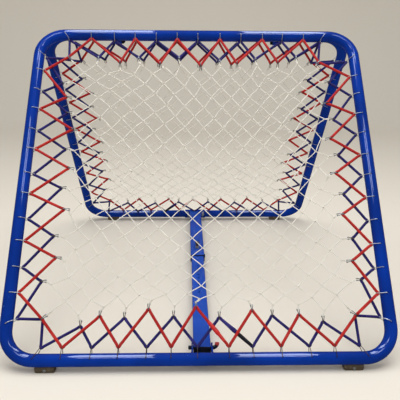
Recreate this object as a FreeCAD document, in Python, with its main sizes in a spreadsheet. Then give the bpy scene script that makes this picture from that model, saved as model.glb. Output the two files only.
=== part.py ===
"""Pitch back rebounder: two netted square tube rings hinged along their top bars,
held apart by a telescopic floor strut. Millimetres, +Z up, +Y towards the back ring,
origin on the floor in the middle of the footprint."""

import FreeCAD, Part
import Sketcher
import math
import os

Vector = FreeCAD.Vector
Rotation = FreeCAD.Rotation
Placement = FreeCAD.Placement

doc = FreeCAD.newDocument("pitch_back_rebounder")

# Driving dimensions, in millimetres and degrees
SIZES = (
    ("ring_side", 968, "ring centre line, side to side"),
    ("corner_radius", 76, "ring centre line bend"),
    ("tube_dia", 32, "ring tube outside"),
    ("apex_angle", 73, "angle between the two rings, degrees"),
    ("hinge_offset", 27, "hinge and strut pivots behind each ring plane"),
    ("hinge_span", 250, "hinge centre from the middle of the top bar"),
    ("hinge_bolt_dia", 10, "hinge bolt shank"),
    ("hinge_eye_dia", 20, "rounded end of a hinge ear"),
    ("hinge_plate", 5, "front hinge ear thickness"),
    ("hinge_knuckle", 10, "back hinge ear thickness"),
    ("hinge_gap", 0.5, "side play between neighbouring hinge ears"),
    ("tie_margin", 12, "corner bend to the last wire tie of a bar"),
    ("tie_wire", 2, "tie wire diameter"),
    ("tie_fit", 0.1, "clearance of the tie wire at the tube and the elastic"),
    ("tie_reach", 24, "ring centre line to the elastic held by a tie"),
    ("net_gap", 118, "ring centre line to the net's hooks"),
    ("net_lead", 21, "net's outer knots to its hooks"),
    ("net_sag", 30, "hang of the net's middle down its plane"),
    ("hook_width", 4, "net hook, across"),
    ("hook_thick", 3, "net hook, through"),
    ("hook_tail", 3, "net hook past the elastic's bend"),
    ("hook_fit", 0.15, "clearance of a hook at the elastic and the net"),
    ("eye_size", 12, "corner eye of the net, across"),
    ("net_strand", 3, "net strand width, and thickness of two crossing strands"),
    ("red_dia", 7, "red elastic"),
    ("blue_dia", 6, "blue elastic"),
    ("red_clear", 10, "net's edge to the red elastic's inner bends"),
    ("blue_clear", 26, "net's edge to the blue elastic's inner bends"),
    ("corner_clear", 20, "net's corner to both elastics at the corner hooks, each way"),
    ("red_sleeve_length", 40, "splice sleeve on the red elastic"),
    ("red_sleeve_wall", 2, "splice sleeve on the red elastic"),
    ("blue_tape_length", 78, "taped joint on the blue elastic"),
    ("blue_tape_wall", 1.2, "taped joint on the blue elastic"),
    ("strut_shift", 5, "strut centre to the right of the ring middle"),
    ("pivot_reach", 30, "strut pivots above the bottom bar, along the ring"),
    ("pivot_dia", 10, "strut pivot pins"),
    ("pivot_eye_dia", 24, "rounded end of a strut bracket ear"),
    ("pivot_plate", 4, "strut bracket ear thickness"),
    ("pivot_play", 0.8, "side play between strut and bracket ear"),
    ("thread_out", 3, "bolt past its nut"),
    ("pin_fit", 0.05, "radial clearance of a pin in its hole"),
    ("sleeve_width", 50, "outer strut tube"),
    ("sleeve_height", 25, "outer strut tube"),
    ("sleeve_wall", 2.5, "outer strut tube"),
    ("sleeve_mouth", 588, "front pivot to the mouth of the outer tube"),
    ("bar_play", 0.5, "play of the inner tube in the outer one, each side"),
    ("bar_wall", 2, "inner strut tube"),
    ("bar_nose", 12, "inner tube past the front pivot, before its cap"),
    ("sleeve_nose", 10, "outer tube past the back pivot, before its cap"),
    ("bar_engaged", 50, "inner tube past the lock hole"),
    ("slot_play", 5, "pivot slot of the inner tube, each way past the pin"),
    ("lock_first", 294, "front pivot to the first lock hole"),
    ("lock_pitch", 26, "spacing of the lock holes"),
    ("lock_count", 15, "number of lock holes"),
    ("lock_dia", 8, "lock hole"),
    ("plunger_dia", 7.4, "lock plunger nose"),
    ("plunger_lift", 0.3, "parked plunger nose above the inner tube"),
    ("plunger_travel", 7, "plunger, from parked to fully home"),
    ("knob_dia", 15, "lock plunger knob"),
    ("knob_height", 9, "lock plunger knob"),
    ("boss_dia", 16, "threaded boss of the lock plunger"),
    ("boss_height", 9, "threaded boss of the lock plunger"),
    ("collar_thick", 4, "plastic collar at the mouth of the outer tube"),
    ("collar_rim", 2, "plastic collar, standing proud of the outer tube"),
    ("cap_thick", 2, "plastic tube cap, outside"),
    ("cap_depth", 2, "plastic tube cap, inside"),
    ("cap_fit", 0.1, "plastic tube cap, clearance inside the tube"),
    ("saddle_thick", 3, "curved flange of the back bracket"),
    ("saddle_fit", 0.1, "clearance of the saddle round the tube"),
    ("saddle_length", 96, "back bracket along the bar"),
    ("saddle_notch", 8, "notch of the back bracket round the middle wire tie"),
    ("pin_tail", 8, "release pin past the left ear"),
    ("pin_handle", 22, "release pin past the right ear, to its bend"),
    ("pin_hook", 16, "release pin's bent end"),
    ("foot_length", 50, "rubber foot along the bar"),
    ("foot_width", 26, "rubber foot across the bar"),
    ("foot_thick", 12, "rubber under the tube"),
    ("foot_wrap", 5, "rubber rising beside the tube"),
    ("foot_margin", 28, "corner bend to the middle of a foot"),
    ("foot_fit", 0.15, "clearance of the foot round the tube"),
    ("foot_chamfer", 3, "foot's lower ends"),
)

sheet = doc.addObject("Spreadsheet::Sheet", "sizes")
for row, (alias, value, note) in enumerate(SIZES, start=1):
    sheet.set(f"A{row}", alias)
    sheet.set(f"B{row}", str(value))
    sheet.set(f"C{row}", note)
    sheet.setAlias(f"B{row}", alias)
doc.recompute()


def size(alias):
    """Value of a driving dimension."""
    return float(sheet.get(alias))


half = size("ring_side") / 2
tube_r = size("tube_dia") / 2
base_angle = 90 - size("apex_angle") / 2
bar_height = size("foot_thick") + tube_r
tilt = math.radians(base_angle)
straight = half - size("corner_radius")
side_count = 4
ties_each_way = 6
hooks_each_way = 6
tie_line = half - size("tie_reach")
tie_pitch = (straight - size("tie_margin")) / ties_each_way
net_edge = half - size("net_gap")
hook_pitch = net_edge / hooks_each_way
net_steps = 2 * hooks_each_way
knot_pitch = (net_edge - size("net_lead")) / net_steps
inner_reach = {"red": net_edge + size("red_clear"), "blue": net_edge + size("blue_clear")}
corner_reach = net_edge + size("corner_clear")
strand_slant = size("net_strand") / math.sqrt(2)
eye_half = size("eye_size") / 2
strand_half = size("net_strand") / 2
bend_every = 4

# Each ring is drawn flat, X along its bars, Y up the ring and +Z on its playing side
ring_middle = Vector(
    0,
    -half * math.cos(tilt) - size("hinge_offset") * math.sin(tilt),
    bar_height + half * math.sin(tilt),
)
front_stand = Placement(ring_middle, Rotation(Vector(1, 0, 0), base_angle))
turn_round = Placement(Vector(0, 0, 0), Rotation(Vector(0, 0, 1), 180))
STANDS = {"front": front_stand, "back": turn_round.multiply(front_stand)}
SHIFT_SIGN = {"front": 1, "back": -1}

pivot_flat = Vector(0, size("pivot_reach") - half, -size("hinge_offset"))
front_pivot = front_stand.multVec(pivot_flat)
strut_length = -2 * front_pivot.y
hinge_flat = Vector(0, half, -size("hinge_offset"))
hinge_point = front_stand.multVec(hinge_flat)
lock_reach = size("lock_first") + size("lock_pitch") * (size("lock_count") - 1)

parts = []


def keep(thing, label, where=None):
    """Name a finished sub-part, put it in its place and list it for writing."""
    thing.Label = label
    if where is not None:
        thing.Placement = where.multiply(thing.Placement)
    parts.append(thing)
    return thing


def shape_part(label, shape, where=None):
    """A sub-part whose shape is worked out from the sheet's values in code."""
    feature = doc.addObject("Part::Feature", label)
    feature.Shape = shape
    return keep(feature, label, where)


# Sketching helpers


def origin_plane(body, role):
    return next(f for f in body.Origin.OriginFeatures if f.Role == role)


def new_body(name):
    return doc.addObject("PartDesign::Body", name)


def new_sketch(body, name, role="XY_Plane", lift=None):
    sketch = body.newObject("Sketcher::SketchObject", name)
    sketch.AttachmentSupport = [(origin_plane(body, role), "")]
    sketch.MapMode = "FlatFace"
    if lift is not None:
        sketch.setExpression("AttachmentOffset.Base.z", lift)
    return sketch


def add_rectangle(sketch, width, height, middle_x="0", middle_y="0"):
    """Rectangle whose sides and middle follow the sheet."""
    first = sketch.GeometryCount
    corners = [Vector(-9, -5, 0), Vector(9, -5, 0), Vector(9, 5, 0), Vector(-9, 5, 0)]
    for i in range(4):
        sketch.addGeometry(Part.LineSegment(corners[i], corners[(i + 1) % 4]))
    for i in range(4):
        sketch.addConstraint(Sketcher.Constraint("Coincident", first + i, 2, first + (i + 1) % 4, 1))
    for i in (0, 2):
        sketch.addConstraint(Sketcher.Constraint("Horizontal", first + i))
    for i in (1, 3):
        sketch.addConstraint(Sketcher.Constraint("Vertical", first + i))
    rules = (
        ("DistanceX", (first, 1, first, 2), width, 18),
        ("DistanceY", (first + 1, 1, first + 1, 2), height, 10),
        ("DistanceX", (-1, 1, first + 1, 1), f"({middle_x}) + ({width}) / 2", 9),
        ("DistanceY", (-1, 1, first + 1, 2), f"({middle_y}) + ({height}) / 2", 5),
    )
    for kind, points, rule, start in rules:
        index = sketch.addConstraint(Sketcher.Constraint(kind, *points, start))
        sketch.setExpression(f"Constraints[{index}]", rule)


def add_circle(sketch, radius, middle_x="0", middle_y="0"):
    """Circle whose radius and middle follow the sheet."""
    circle = sketch.addGeometry(Part.Circle(Vector(1, 1, 0), Vector(0, 0, 1), 3))
    rules = (
        ("Radius", (circle,), radius, 3),
        ("DistanceX", (-1, 1, circle, 3), middle_x, 1),
        ("DistanceY", (-1, 1, circle, 3), middle_y, 1),
    )
    for kind, points, rule, start in rules:
        index = sketch.addConstraint(Sketcher.Constraint(kind, *points, start))
        sketch.setExpression(f"Constraints[{index}]", rule)


def add_pad(body, sketch, length, both_ways=False):
    pad = body.newObject("PartDesign::Pad", f"{sketch.Name}_pad")
    pad.Profile = sketch
    pad.Midplane = both_ways
    pad.setExpression("Length", length)
    return pad


def add_pocket(body, sketch, both_ways=True):
    pocket = body.newObject("PartDesign::Pocket", f"{sketch.Name}_cut")
    pocket.Profile = sketch
    pocket.Type = 1
    pocket.Midplane = both_ways
    return pocket


# Ring: one bent and butt welded steel tube


def solid_piece(kind, name, angle, rules):
    """A primitive turned about the ring's middle, its sizes and place bound to the sheet."""
    piece = doc.addObject(kind, name)
    upright = Rotation(Vector(0, 1, 0), 90) if kind == "Part::Cylinder" else Rotation()
    piece.Placement = Placement(Vector(0, 0, 0), Rotation(Vector(0, 0, 1), angle).multiply(upright))
    for prop, rule in rules.items():
        piece.setExpression(prop, rule)
    return piece


def make_ring(side):
    """Four straight runs joined by four bends."""
    run = "(sizes.ring_side / 2 - sizes.corner_radius)"
    pieces = []
    for turn, (x, y) in enumerate(((-1, 1), (-1, -1), (1, -1), (1, 1))):
        run_x = f"{x} * {run}" if turn % 2 == 0 else f"{x} * sizes.ring_side / 2"
        run_y = f"{y} * sizes.ring_side / 2" if turn % 2 == 0 else f"{y} * {run}"
        rules = {
            "Radius": "sizes.tube_dia / 2",
            "Height": f"2 * {run}",
            ".Placement.Base.x": run_x,
            ".Placement.Base.y": run_y,
        }
        pieces.append(solid_piece("Part::Cylinder", f"{side}_run_{turn}", 90 * turn, rules))
        rules = {
            "Radius1": "sizes.corner_radius",
            "Radius2": "sizes.tube_dia / 2",
            ".Placement.Base.x": f"{x} * {run}",
            ".Placement.Base.y": f"{y} * {run}",
        }
        bend = solid_piece("Part::Torus", f"{side}_bend_{turn}", 90 * turn + 90, rules)
        bend.Angle3 = 90
        pieces.append(bend)
    ring = doc.addObject("Part::MultiFuse", f"{side}_ring")
    ring.Shapes = pieces
    doc.recompute()
    keep(ring, f"{side}_ring", STANDS[side])


# Ears: plates that reach from a bar's tube to a pivot eye behind the ring plane


def ear_outline(eye, eye_radius, root_half_width):
    """Plate outline in the ring's Y-Z plane: tube side wide, eye end round."""
    root = Vector(0, eye.y - eye_root_offset(eye), 0)
    reach = eye - root
    along = Vector(reach).normalize()
    across = Vector(1, 0, 0).cross(along)
    foot_a = root + across * root_half_width
    foot_b = root - across * root_half_width
    eye_a = eye + across * eye_radius
    eye_b = eye - across * eye_radius
    tip = eye + along * eye_radius
    edges = [
        Part.makeLine(foot_b, foot_a),
        Part.makeLine(foot_a, eye_a),
        Part.Arc(eye_a, tip, eye_b).toShape(),
        Part.makeLine(eye_b, foot_b),
    ]
    return Part.Face(Part.Wire(edges))


def eye_root_offset(eye):
    """Height of an eye above its bar's centre line, along the ring."""
    return eye.y - math.copysign(half, eye.y)


def ear_plate(eye, eye_dia, bore_dia, near, far):
    """One ear between two X positions, bored, and cut to sit on the tube."""
    plate = ear_outline(eye, eye_dia / 2, tube_r * 0.75).extrude(Vector(far - near, 0, 0))
    plate.translate(Vector(near, 0, 0))
    bar_line = Vector(near - 1, math.copysign(half, eye.y), 0)
    bar = Part.makeCylinder(tube_r, far - near + 2, bar_line, Vector(1, 0, 0))
    bore_from = Vector(near - 1, eye.y, eye.z)
    bore = Part.makeCylinder(bore_dia / 2, far - near + 2, bore_from, Vector(1, 0, 0))
    return plate.cut(bar).cut(bore)


def make_hinge_ears(side):
    """Pairs of ears on the front top bar, each round a thicker ear of the back one."""
    knuckle = size("hinge_knuckle") / 2
    near = knuckle + size("hinge_gap")
    far = near + size("hinge_plate")
    spans = {"front": ((-far, -near), (near, far)), "back": ((-knuckle, knuckle),)}
    bore_dia = size("hinge_bolt_dia") + 2 * size("pin_fit")
    plates = []
    for middle in (-size("hinge_span"), size("hinge_span")):
        for start, end in spans[side]:
            ear = ear_plate(hinge_flat, size("hinge_eye_dia"), bore_dia, middle + start, middle + end)
            plates.append(ear)
    shape_part(f"{side}_hinge_ears", Part.makeCompound(plates), STANDS[side])


def hexagon(across):
    """Face of a bolt's head or a nut, square to X."""
    corner = Vector(0, across / math.sqrt(3), 0)
    turns = [Rotation(Vector(1, 0, 0), angle) for angle in range(0, 361, 60)]
    return Part.Face(Part.makePolygon([turn.multVec(corner) for turn in turns]))


def hex_bolt(shank_dia, length, head_across, head_height):
    """Bolt along +X, its head's underside at the origin."""
    head = hexagon(head_across).extrude(Vector(-head_height, 0, 0))
    shank = Part.makeCylinder(shank_dia / 2, length, Vector(0, 0, 0), Vector(1, 0, 0))
    return head.fuse(shank).removeSplitter()


def hex_nut(bore_dia, across, height):
    """Nut along +X from the origin."""
    nut = hexagon(across).extrude(Vector(height, 0, 0))
    return nut.cut(Part.makeCylinder(bore_dia / 2, height, Vector(0, 0, 0), Vector(1, 0, 0)))


def make_hinge_bolts():
    """A bolt and a nut through each set of four hinge ears."""
    reach = size("hinge_knuckle") / 2 + size("hinge_gap") + size("hinge_plate")
    shank = size("hinge_bolt_dia")
    across = 1.7 * shank
    nut_height = 0.8 * shank
    bolts, nuts = [], []
    for middle in (-size("hinge_span"), size("hinge_span")):
        start = Vector(middle - reach, hinge_point.y, hinge_point.z)
        bolt = hex_bolt(shank, 2 * reach + nut_height + size("thread_out"), across, 0.64 * shank)
        bolt.translate(start)
        bolts.append(bolt)
        nut = hex_nut(shank + 2 * size("pin_fit"), across, nut_height)
        nut.translate(start + Vector(2 * reach, 0, 0))
        nuts.append(nut)
    shape_part("hinge_bolts", Part.makeCompound(bolts))
    shape_part("hinge_nuts", Part.makeCompound(nuts))


# Net: twine laid in two crossing layers, each strand doubled with another from border to hook


def net_knot(column, row):
    """Place of a knot: an even mesh whose middle hangs down its plane."""
    slack = (1 - (column / net_steps) ** 2) * (1 - (row / net_steps) ** 2)
    return Vector(column * knot_pitch, row * knot_pitch - size("net_sag") * slack, 0)


def net_end(column, row):
    """End of the twine beyond a border knot, and the line it is cut along there."""
    if abs(column) == abs(row):
        reach = net_edge - eye_half + strand_half
        corner = Vector(math.copysign(reach, column), math.copysign(reach, row), 0)
        return corner, Vector(-corner.y, corner.x, 0).normalize()
    far = net_edge + strand_slant
    if abs(row) == net_steps:
        return Vector(column / 2 * hook_pitch, math.copysign(far, row), 0), Vector(1, 0, 0)
    return Vector(math.copysign(far, column), row / 2 * hook_pitch, 0), Vector(0, 1, 0)


def twine(knots):
    """Half-thick strand through the knots of one slanting line and on to its two hooks."""
    start, start_cut = net_end(*knots[0])
    end, end_cut = net_end(*knots[-1])
    inner = [knots[step] for step in range(0, len(knots) - 1, bend_every)] + [knots[-1]]
    points = [start] + [net_knot(*knot) for knot in inner] + [end]
    normals = []
    for a, b in zip(points, points[1:]):
        way = (b - a).normalize()
        normals.append(Vector(-way.y, way.x, 0))
    steps = [start_cut * (strand_half / start_cut.dot(normals[0]))]
    for before, after in zip(normals, normals[1:]):
        both = before + after
        steps.append(both * (2 * strand_half / both.dot(both)))
    steps.append(end_cut * (strand_half / end_cut.dot(normals[-1])))
    left = [point + step for point, step in zip(points, steps)]
    right = [point - step for point, step in zip(points, steps)]
    outline = left + right[::-1] + left[:1]
    return Part.Face(Part.makePolygon(outline)).extrude(Vector(0, 0, strand_half))


def corner_eye(corner):
    """Square eye of the net's border rope at one corner."""
    wide = 2 * eye_half
    clear = wide - 2 * size("net_strand")
    eye = Part.makeBox(wide, wide, 2 * strand_half)
    eye = eye.cut(Part.makeBox(clear, clear, 2 * strand_half, Vector(1, 1, 0) * size("net_strand")))
    eye.translate(corner - Vector(eye_half, eye_half, strand_half))
    return eye


def make_net(side):
    """Square mesh hung on its corners, with an eye at each corner."""
    strands = []
    for slant in (-1, 1):
        for line in range(2 - 2 * net_steps, 2 * net_steps, 2):
            columns = range(-net_steps, net_steps + 1)
            knots = [(c, slant * (c - line)) for c in columns if abs(c - line) <= net_steps]
            strand = twine(knots)
            if slant < 0:
                strand.translate(Vector(0, 0, -strand_half))
            if line == 0:
                reach = Vector(net_edge, slant * net_edge, 0)
                strand = strand.fuse([corner_eye(reach), corner_eye(-reach)]).removeSplitter()
            strands.append(strand)
    print(f"{side}_net: {len(strands)} strands")
    shape_part(f"{side}_net", Part.makeCompound(strands), STANDS[side])


# Elastics: red and blue, each zigzags between wire ties on the tube and hooks on the net


def side_points(colour):
    """Bends of one elastic along the top side, left to right, corner hook first."""
    reach = inner_reach[colour]
    first = 0 if colour == "blue" else 1
    points = [Vector(-corner_reach, corner_reach, 0)]
    for index in range(-ties_each_way + first, ties_each_way + 1, 2):
        points.append(Vector(index * tie_pitch, tie_line, 0))
        if index + 1 < ties_each_way - first + 1:
            points.append(Vector((index + 1) * hook_pitch, reach, 0))
    return points


def cord_half(colour):
    """Half the side of a square cord with the section area of the round elastic."""
    return size(f"{colour}_dia") * math.sqrt(math.pi) / 4


def cord_level(colour):
    """The red elastic lies on the playing side of the hooks and the blue one behind them."""
    level = size("hook_thick") / 2 + size("hook_fit") + cord_half(colour)
    return level if colour == "red" else -level


def cord_points(colour):
    """All bends of one elastic, once round the ring."""
    points = []
    for turn in range(side_count):
        spin = Rotation(Vector(0, 0, 1), -90 * turn)
        points += [spin.multVec(point) for point in side_points(colour)]
    for point in points:
        point.z = cord_level(colour)
    return points


def bend_room(before, bend, after, cord):
    """How far the inside corner of a bent square cord lies from its centre line's bend."""
    inward = (before - bend).normalize() + (after - bend).normalize()
    half_turn = (before - bend).getAngle(inward)
    return inward.normalize() * (cord / math.sin(half_turn))


def faceted_rod(points, radius, sides, flat, first_angle=0):
    """Rod with flat sides and mitred bends along points that lie in one plane."""
    along = (points[1] - points[0]).normalize()
    across = flat.cross(along)
    corners = []
    for i in range(sides + 1):
        a = math.radians(first_angle) + 2 * math.pi * i / sides
        corners.append(points[0] + across * radius * math.cos(a) + flat * radius * math.sin(a))
    return Part.makePolygon(points).makePipeShell([Part.makePolygon(corners)], True, False, 1)


def make_cord(side, colour):
    """Square cord with mitred bends, as tight as the wires that it passes."""
    points = cord_points(colour)
    start = (points[0] + points[-1]) * 0.5
    radius = cord_half(colour) * math.sqrt(2)
    route = [start] + points + [start]
    cord = faceted_rod(route, radius, 4, Vector(0, 0, 1), 45)
    length = sum((b - a).Length for a, b in zip(route, route[1:]))
    print(f"{side}_{colour}_elastic: {len(points)} bends, {length:.0f} mm")
    shape_part(f"{side}_{colour}_elastic", cord, STANDS[side])


def tie_route(tie, before, after, colour):
    """Wire from the tube's front face, round an elastic's bend, to the tube's back face."""
    wire = size("tie_wire") / 2 + size("tie_fit")
    level = cord_level(colour)
    beside = cord_half(colour) + wire
    inside = tie + bend_room(before, tie, after, cord_half(colour) + wire)
    rest = tube_r + wire
    legs = []
    for face in (1, -1):
        turn = Vector(inside.x, inside.y, level + face * beside)
        away = Vector(0, turn.y - half, turn.z)
        distance = away.Length
        swing = rest * math.sqrt(distance**2 - rest**2) / distance**2 * face
        touch = away * (rest / distance) ** 2 + Vector(0, away.z, -away.y) * swing
        legs.append([touch + Vector(tie.x, half, 0), turn])
    return legs[0] + legs[1][::-1]


def make_ties(side):
    """Wire ties of both elastics, all round the ring."""
    solids = []
    for colour in ("red", "blue"):
        points = cord_points(colour)
        for index, point in enumerate(points):
            before = points[index - 1]
            after = points[(index + 1) % len(points)]
            on_top = abs(point.y - tie_line) < 1e-6
            if not on_top:
                continue
            route = tie_route(point, before, after, colour)
            lean = route[1] - route[0]
            across = Vector(-lean.y, lean.x, 0).normalize()
            rod = faceted_rod(route, size("tie_wire") / 2, 3, across)
            for turn in range(side_count):
                copy = rod.copy()
                copy.rotate(Vector(0, 0, 0), Vector(0, 0, 1), 90 * turn)
                solids.append(copy)
    print(f"{side}_wire_ties: {len(solids)} ties")
    shape_part(f"{side}_wire_ties", Part.makeCompound(solids), STANDS[side])


def flat_link(start, end):
    """Flat strip between two points of the net's plane."""
    across = (end - start).normalize().cross(Vector(0, 0, 1)) * (size("hook_width") / 2)
    corners = [start + across, start - across, end - across, end + across, start + across]
    strip = Part.Face(Part.makePolygon(corners)).extrude(Vector(0, 0, size("hook_thick")))
    strip.translate(Vector(0, 0, -size("hook_thick") / 2))
    return strip


def make_hooks(side):
    """Flat steel hooks that carry the elastics' inner bends and end at the net's corners."""
    first = net_edge + strand_slant + size("hook_fit")
    corner_first = net_edge + eye_half + size("hook_fit")
    corner_last = corner_reach + cord_half("red") + size("hook_tail")
    links = [(Vector(-corner_last, corner_last, 0), Vector(-corner_first, corner_first, 0))]
    for index in range(1 - hooks_each_way, hooks_each_way):
        colour = "blue" if (index + hooks_each_way) % 2 else "red"
        x = index * hook_pitch
        last = inner_reach[colour] + 1.7 * cord_half(colour) + size("hook_tail")
        links.append((Vector(x, last, 0), Vector(x, first, 0)))
    solids = []
    for turn in range(side_count):
        spin = Rotation(Vector(0, 0, 1), -90 * turn)
        solids += [flat_link(spin.multVec(start), spin.multVec(end)) for start, end in links]
    print(f"{side}_net_hooks: {len(solids)} hooks")
    shape_part(f"{side}_net_hooks", Part.makeCompound(solids), STANDS[side])


def make_splices(side):
    """Sleeve and taped joint that close the two elastics, near the middle of the bottom bar."""
    red_run = (Vector(0, -inner_reach["red"], 0), Vector(tie_pitch, -tie_line, 0))
    blue_run = (
        Vector(hook_pitch, -inner_reach["blue"], 0),
        Vector(2 * tie_pitch, -tie_line, 0),
    )
    joints = (
        ("red", red_run, "red_sleeve_length", "red_sleeve_wall", "red_splice"),
        ("blue", blue_run, "blue_tape_length", "blue_tape_wall", "blue_splice"),
    )
    for colour, (start, end), length, wall, name in joints:
        level = Vector(0, 0, cord_level(colour))
        along = (end - start).normalize()
        begin = (start + end) * 0.5 - along * size(length) / 2 + level
        finish = begin + along * size(length)
        inside = cord_half(colour) * math.sqrt(2)
        outside = (cord_half(colour) + size(wall)) * math.sqrt(2)
        up = Vector(0, 0, 1)
        sleeve = faceted_rod([begin, finish], outside, 4, up, 45)
        sleeve = sleeve.cut(faceted_rod([begin, finish], inside, 4, up, 45))
        shape_part(f"{side}_{name}", sleeve, STANDS[side])


# Feet: rubber pads under the bottom bars


def is_foot_end(edge):
    """Whether an edge is one of a foot's two lower ends."""
    middle = edge.CenterOfMass
    return abs(middle.z) < 1e-6 and abs(abs(middle.x) - size("foot_length") / 2) < 1e-6


def make_feet(side):
    for hand, sign in (("left", -1), ("right", 1)):
        name = f"{side}_{hand}_foot"
        body = new_body(name)
        block = new_sketch(body, f"{name}_block", "YZ_Plane")
        height = "(sizes.foot_thick + sizes.foot_wrap)"
        add_rectangle(block, "sizes.foot_width", height, "0", f"{height} / 2")
        add_pad(body, block, "sizes.foot_length", True)
        seat = new_sketch(body, f"{name}_seat", "YZ_Plane")
        seat_radius = "sizes.tube_dia / 2 + sizes.foot_fit"
        add_circle(seat, seat_radius, "0", "sizes.foot_thick + sizes.tube_dia / 2")
        add_pocket(body, seat)
        doc.recompute()
        cut = body.Tip
        ends = [f"Edge{i + 1}" for i, edge in enumerate(cut.Shape.Edges) if is_foot_end(edge)]
        chamfer = body.newObject("PartDesign::Chamfer", f"{name}_chamfer")
        chamfer.Base = (cut, ends)
        chamfer.setExpression("Size", "sizes.foot_chamfer")
        body.Tip = chamfer
        bar_y = STANDS[side].multVec(Vector(0, -half, 0)).y
        foot_at = Vector(sign * (straight - size("foot_margin")), bar_y, 0)
        keep(body, name, Placement(foot_at, Rotation()))


# Strut brackets


def bracket_ears(side, inside_width):
    """Pair of ears round the strut's end, in the ring's flat frame."""
    middle = SHIFT_SIGN[side] * size("strut_shift")
    near = inside_width / 2 + size("pivot_play")
    bore_dia = size("pivot_dia") + 2 * size("pin_fit")
    plates = []
    for sign in (-1, 1):
        ends = sorted((middle + sign * near, middle + sign * (near + size("pivot_plate"))))
        plates.append(ear_plate(pivot_flat, size("pivot_eye_dia"), bore_dia, *ends))
    return plates


def make_front_bracket():
    ears = bracket_ears("front", bar_width)
    shape_part("front_strut_bracket", Part.makeCompound(ears), STANDS["front"])


def make_back_bracket():
    """Curved saddle bolted to the bar, with the two ears welded on."""
    middle = SHIFT_SIGN["back"] * size("strut_shift")
    inner_r = tube_r + size("saddle_fit")
    outer_r = inner_r + size("saddle_thick")
    start = Vector(middle - size("saddle_length") / 2, -half, 0)
    shell = Part.makeCylinder(outer_r, size("saddle_length"), start, Vector(1, 0, 0))
    bar = Part.makeCylinder(inner_r, size("saddle_length"), start, Vector(1, 0, 0))
    wedge_from = start + Vector(0, -outer_r, -outer_r)
    wedge = Part.makeBox(size("saddle_length"), 2 * outer_r, outer_r, wedge_from)
    facing = math.degrees(math.atan2(-pivot_flat.z, size("pivot_reach")))
    wedge.rotate(start, Vector(1, 0, 0), 90 - facing)
    saddle = shell.cut(bar).common(wedge)
    ears = bracket_ears("back", size("sleeve_width"))
    notch_from = Vector(-size("saddle_notch") / 2, -half - size("tie_wire"), -2 * outer_r)
    notch = Part.makeBox(size("saddle_notch"), 2 * outer_r, 3 * outer_r, notch_from)
    bracket = saddle.fuse([ear.cut(bar) for ear in ears]).cut(notch).removeSplitter()
    shape_part("back_strut_bracket", bracket, STANDS["back"])


# Strut: drawn along +Y from the front pivot, then stood in its place

bar_width = size("sleeve_width") - 2 * size("sleeve_wall") - 2 * size("bar_play")
bar_height_outside = size("sleeve_height") - 2 * size("sleeve_wall") - 2 * size("bar_play")
strut_stand = Placement(Vector(size("strut_shift"), front_pivot.y, front_pivot.z), Rotation())
BAR_WIDTH = "(sizes.sleeve_width - 2 * sizes.sleeve_wall - 2 * sizes.bar_play)"
BAR_HEIGHT = "(sizes.sleeve_height - 2 * sizes.sleeve_wall - 2 * sizes.bar_play)"
LOCK_REACH = "(sizes.lock_first + sizes.lock_pitch * (sizes.lock_count - 1))"


def hollow_run(body, name, width, height, wall, start, end):
    """Rectangular tube along +Y between two distances from the front pivot."""
    outside = new_sketch(body, f"{name}_outside", "XZ_Plane", f"-({end})")
    add_rectangle(outside, width, height)
    add_rectangle(outside, f"{width} - 2 * {wall}", f"{height} - 2 * {wall}")
    return add_pad(body, outside, f"({end}) - ({start})")


def make_strut_bar():
    body = new_body("strut_bar")
    end = f"{LOCK_REACH} + sizes.bar_engaged"
    hollow_run(body, "bar", BAR_WIDTH, BAR_HEIGHT, "sizes.bar_wall", "-sizes.bar_nose", end)
    slot = new_sketch(body, "pivot_slot", "YZ_Plane")
    slot_radius = "sizes.pivot_dia / 2 + sizes.pin_fit * 4"
    add_circle(slot, slot_radius, "sizes.slot_play")
    add_pocket(body, slot)
    slot_back = new_sketch(body, "pivot_slot_back", "YZ_Plane")
    add_circle(slot_back, slot_radius, "-sizes.slot_play")
    add_pocket(body, slot_back)
    slot_middle = new_sketch(body, "pivot_slot_middle", "YZ_Plane")
    add_rectangle(slot_middle, "2 * sizes.slot_play", f"2 * ({slot_radius})")
    add_pocket(body, slot_middle)
    hole = new_sketch(body, "lock_hole", "XY_Plane")
    add_circle(hole, "sizes.lock_dia / 2", "0", "sizes.lock_first")
    cut = body.newObject("PartDesign::Pocket", "lock_hole_cut")
    cut.Profile = hole
    cut.Type = 1
    cut.Reversed = True
    doc.recompute()
    row = body.newObject("PartDesign::LinearPattern", "lock_hole_row")
    row.Originals = [cut]
    row.Direction = (origin_plane(body, "Y_Axis"), [""])
    row.setExpression("Length", "sizes.lock_pitch * (sizes.lock_count - 1)")
    row.setExpression("Occurrences", "sizes.lock_count")
    body.Tip = row
    keep(body, "strut_bar", strut_stand)


def make_strut_sleeve():
    body = new_body("strut_sleeve")
    end = f"{strut_length} + sizes.sleeve_nose"
    hollow_run(
        body, "sleeve", "sizes.sleeve_width", "sizes.sleeve_height", "sizes.sleeve_wall",
        "sizes.sleeve_mouth", end,
    )
    pivot = new_sketch(body, "sleeve_pivot", "YZ_Plane")
    add_circle(pivot, "sizes.pivot_dia / 2 + sizes.pin_fit", f"{strut_length}")
    add_pocket(body, pivot)
    lock = new_sketch(body, "sleeve_lock", "XY_Plane")
    add_circle(lock, "sizes.lock_dia / 2", "0", LOCK_REACH)
    cut = body.newObject("PartDesign::Pocket", "sleeve_lock_cut")
    cut.Profile = lock
    cut.Type = 1
    cut.Reversed = True
    keep(body, "strut_sleeve", strut_stand)


def strut_box(width, height, start, end):
    """Block centred on the strut's axis between two distances from the front pivot."""
    return Part.makeBox(width, end - start, height, Vector(-width / 2, start, -height / 2))


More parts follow.
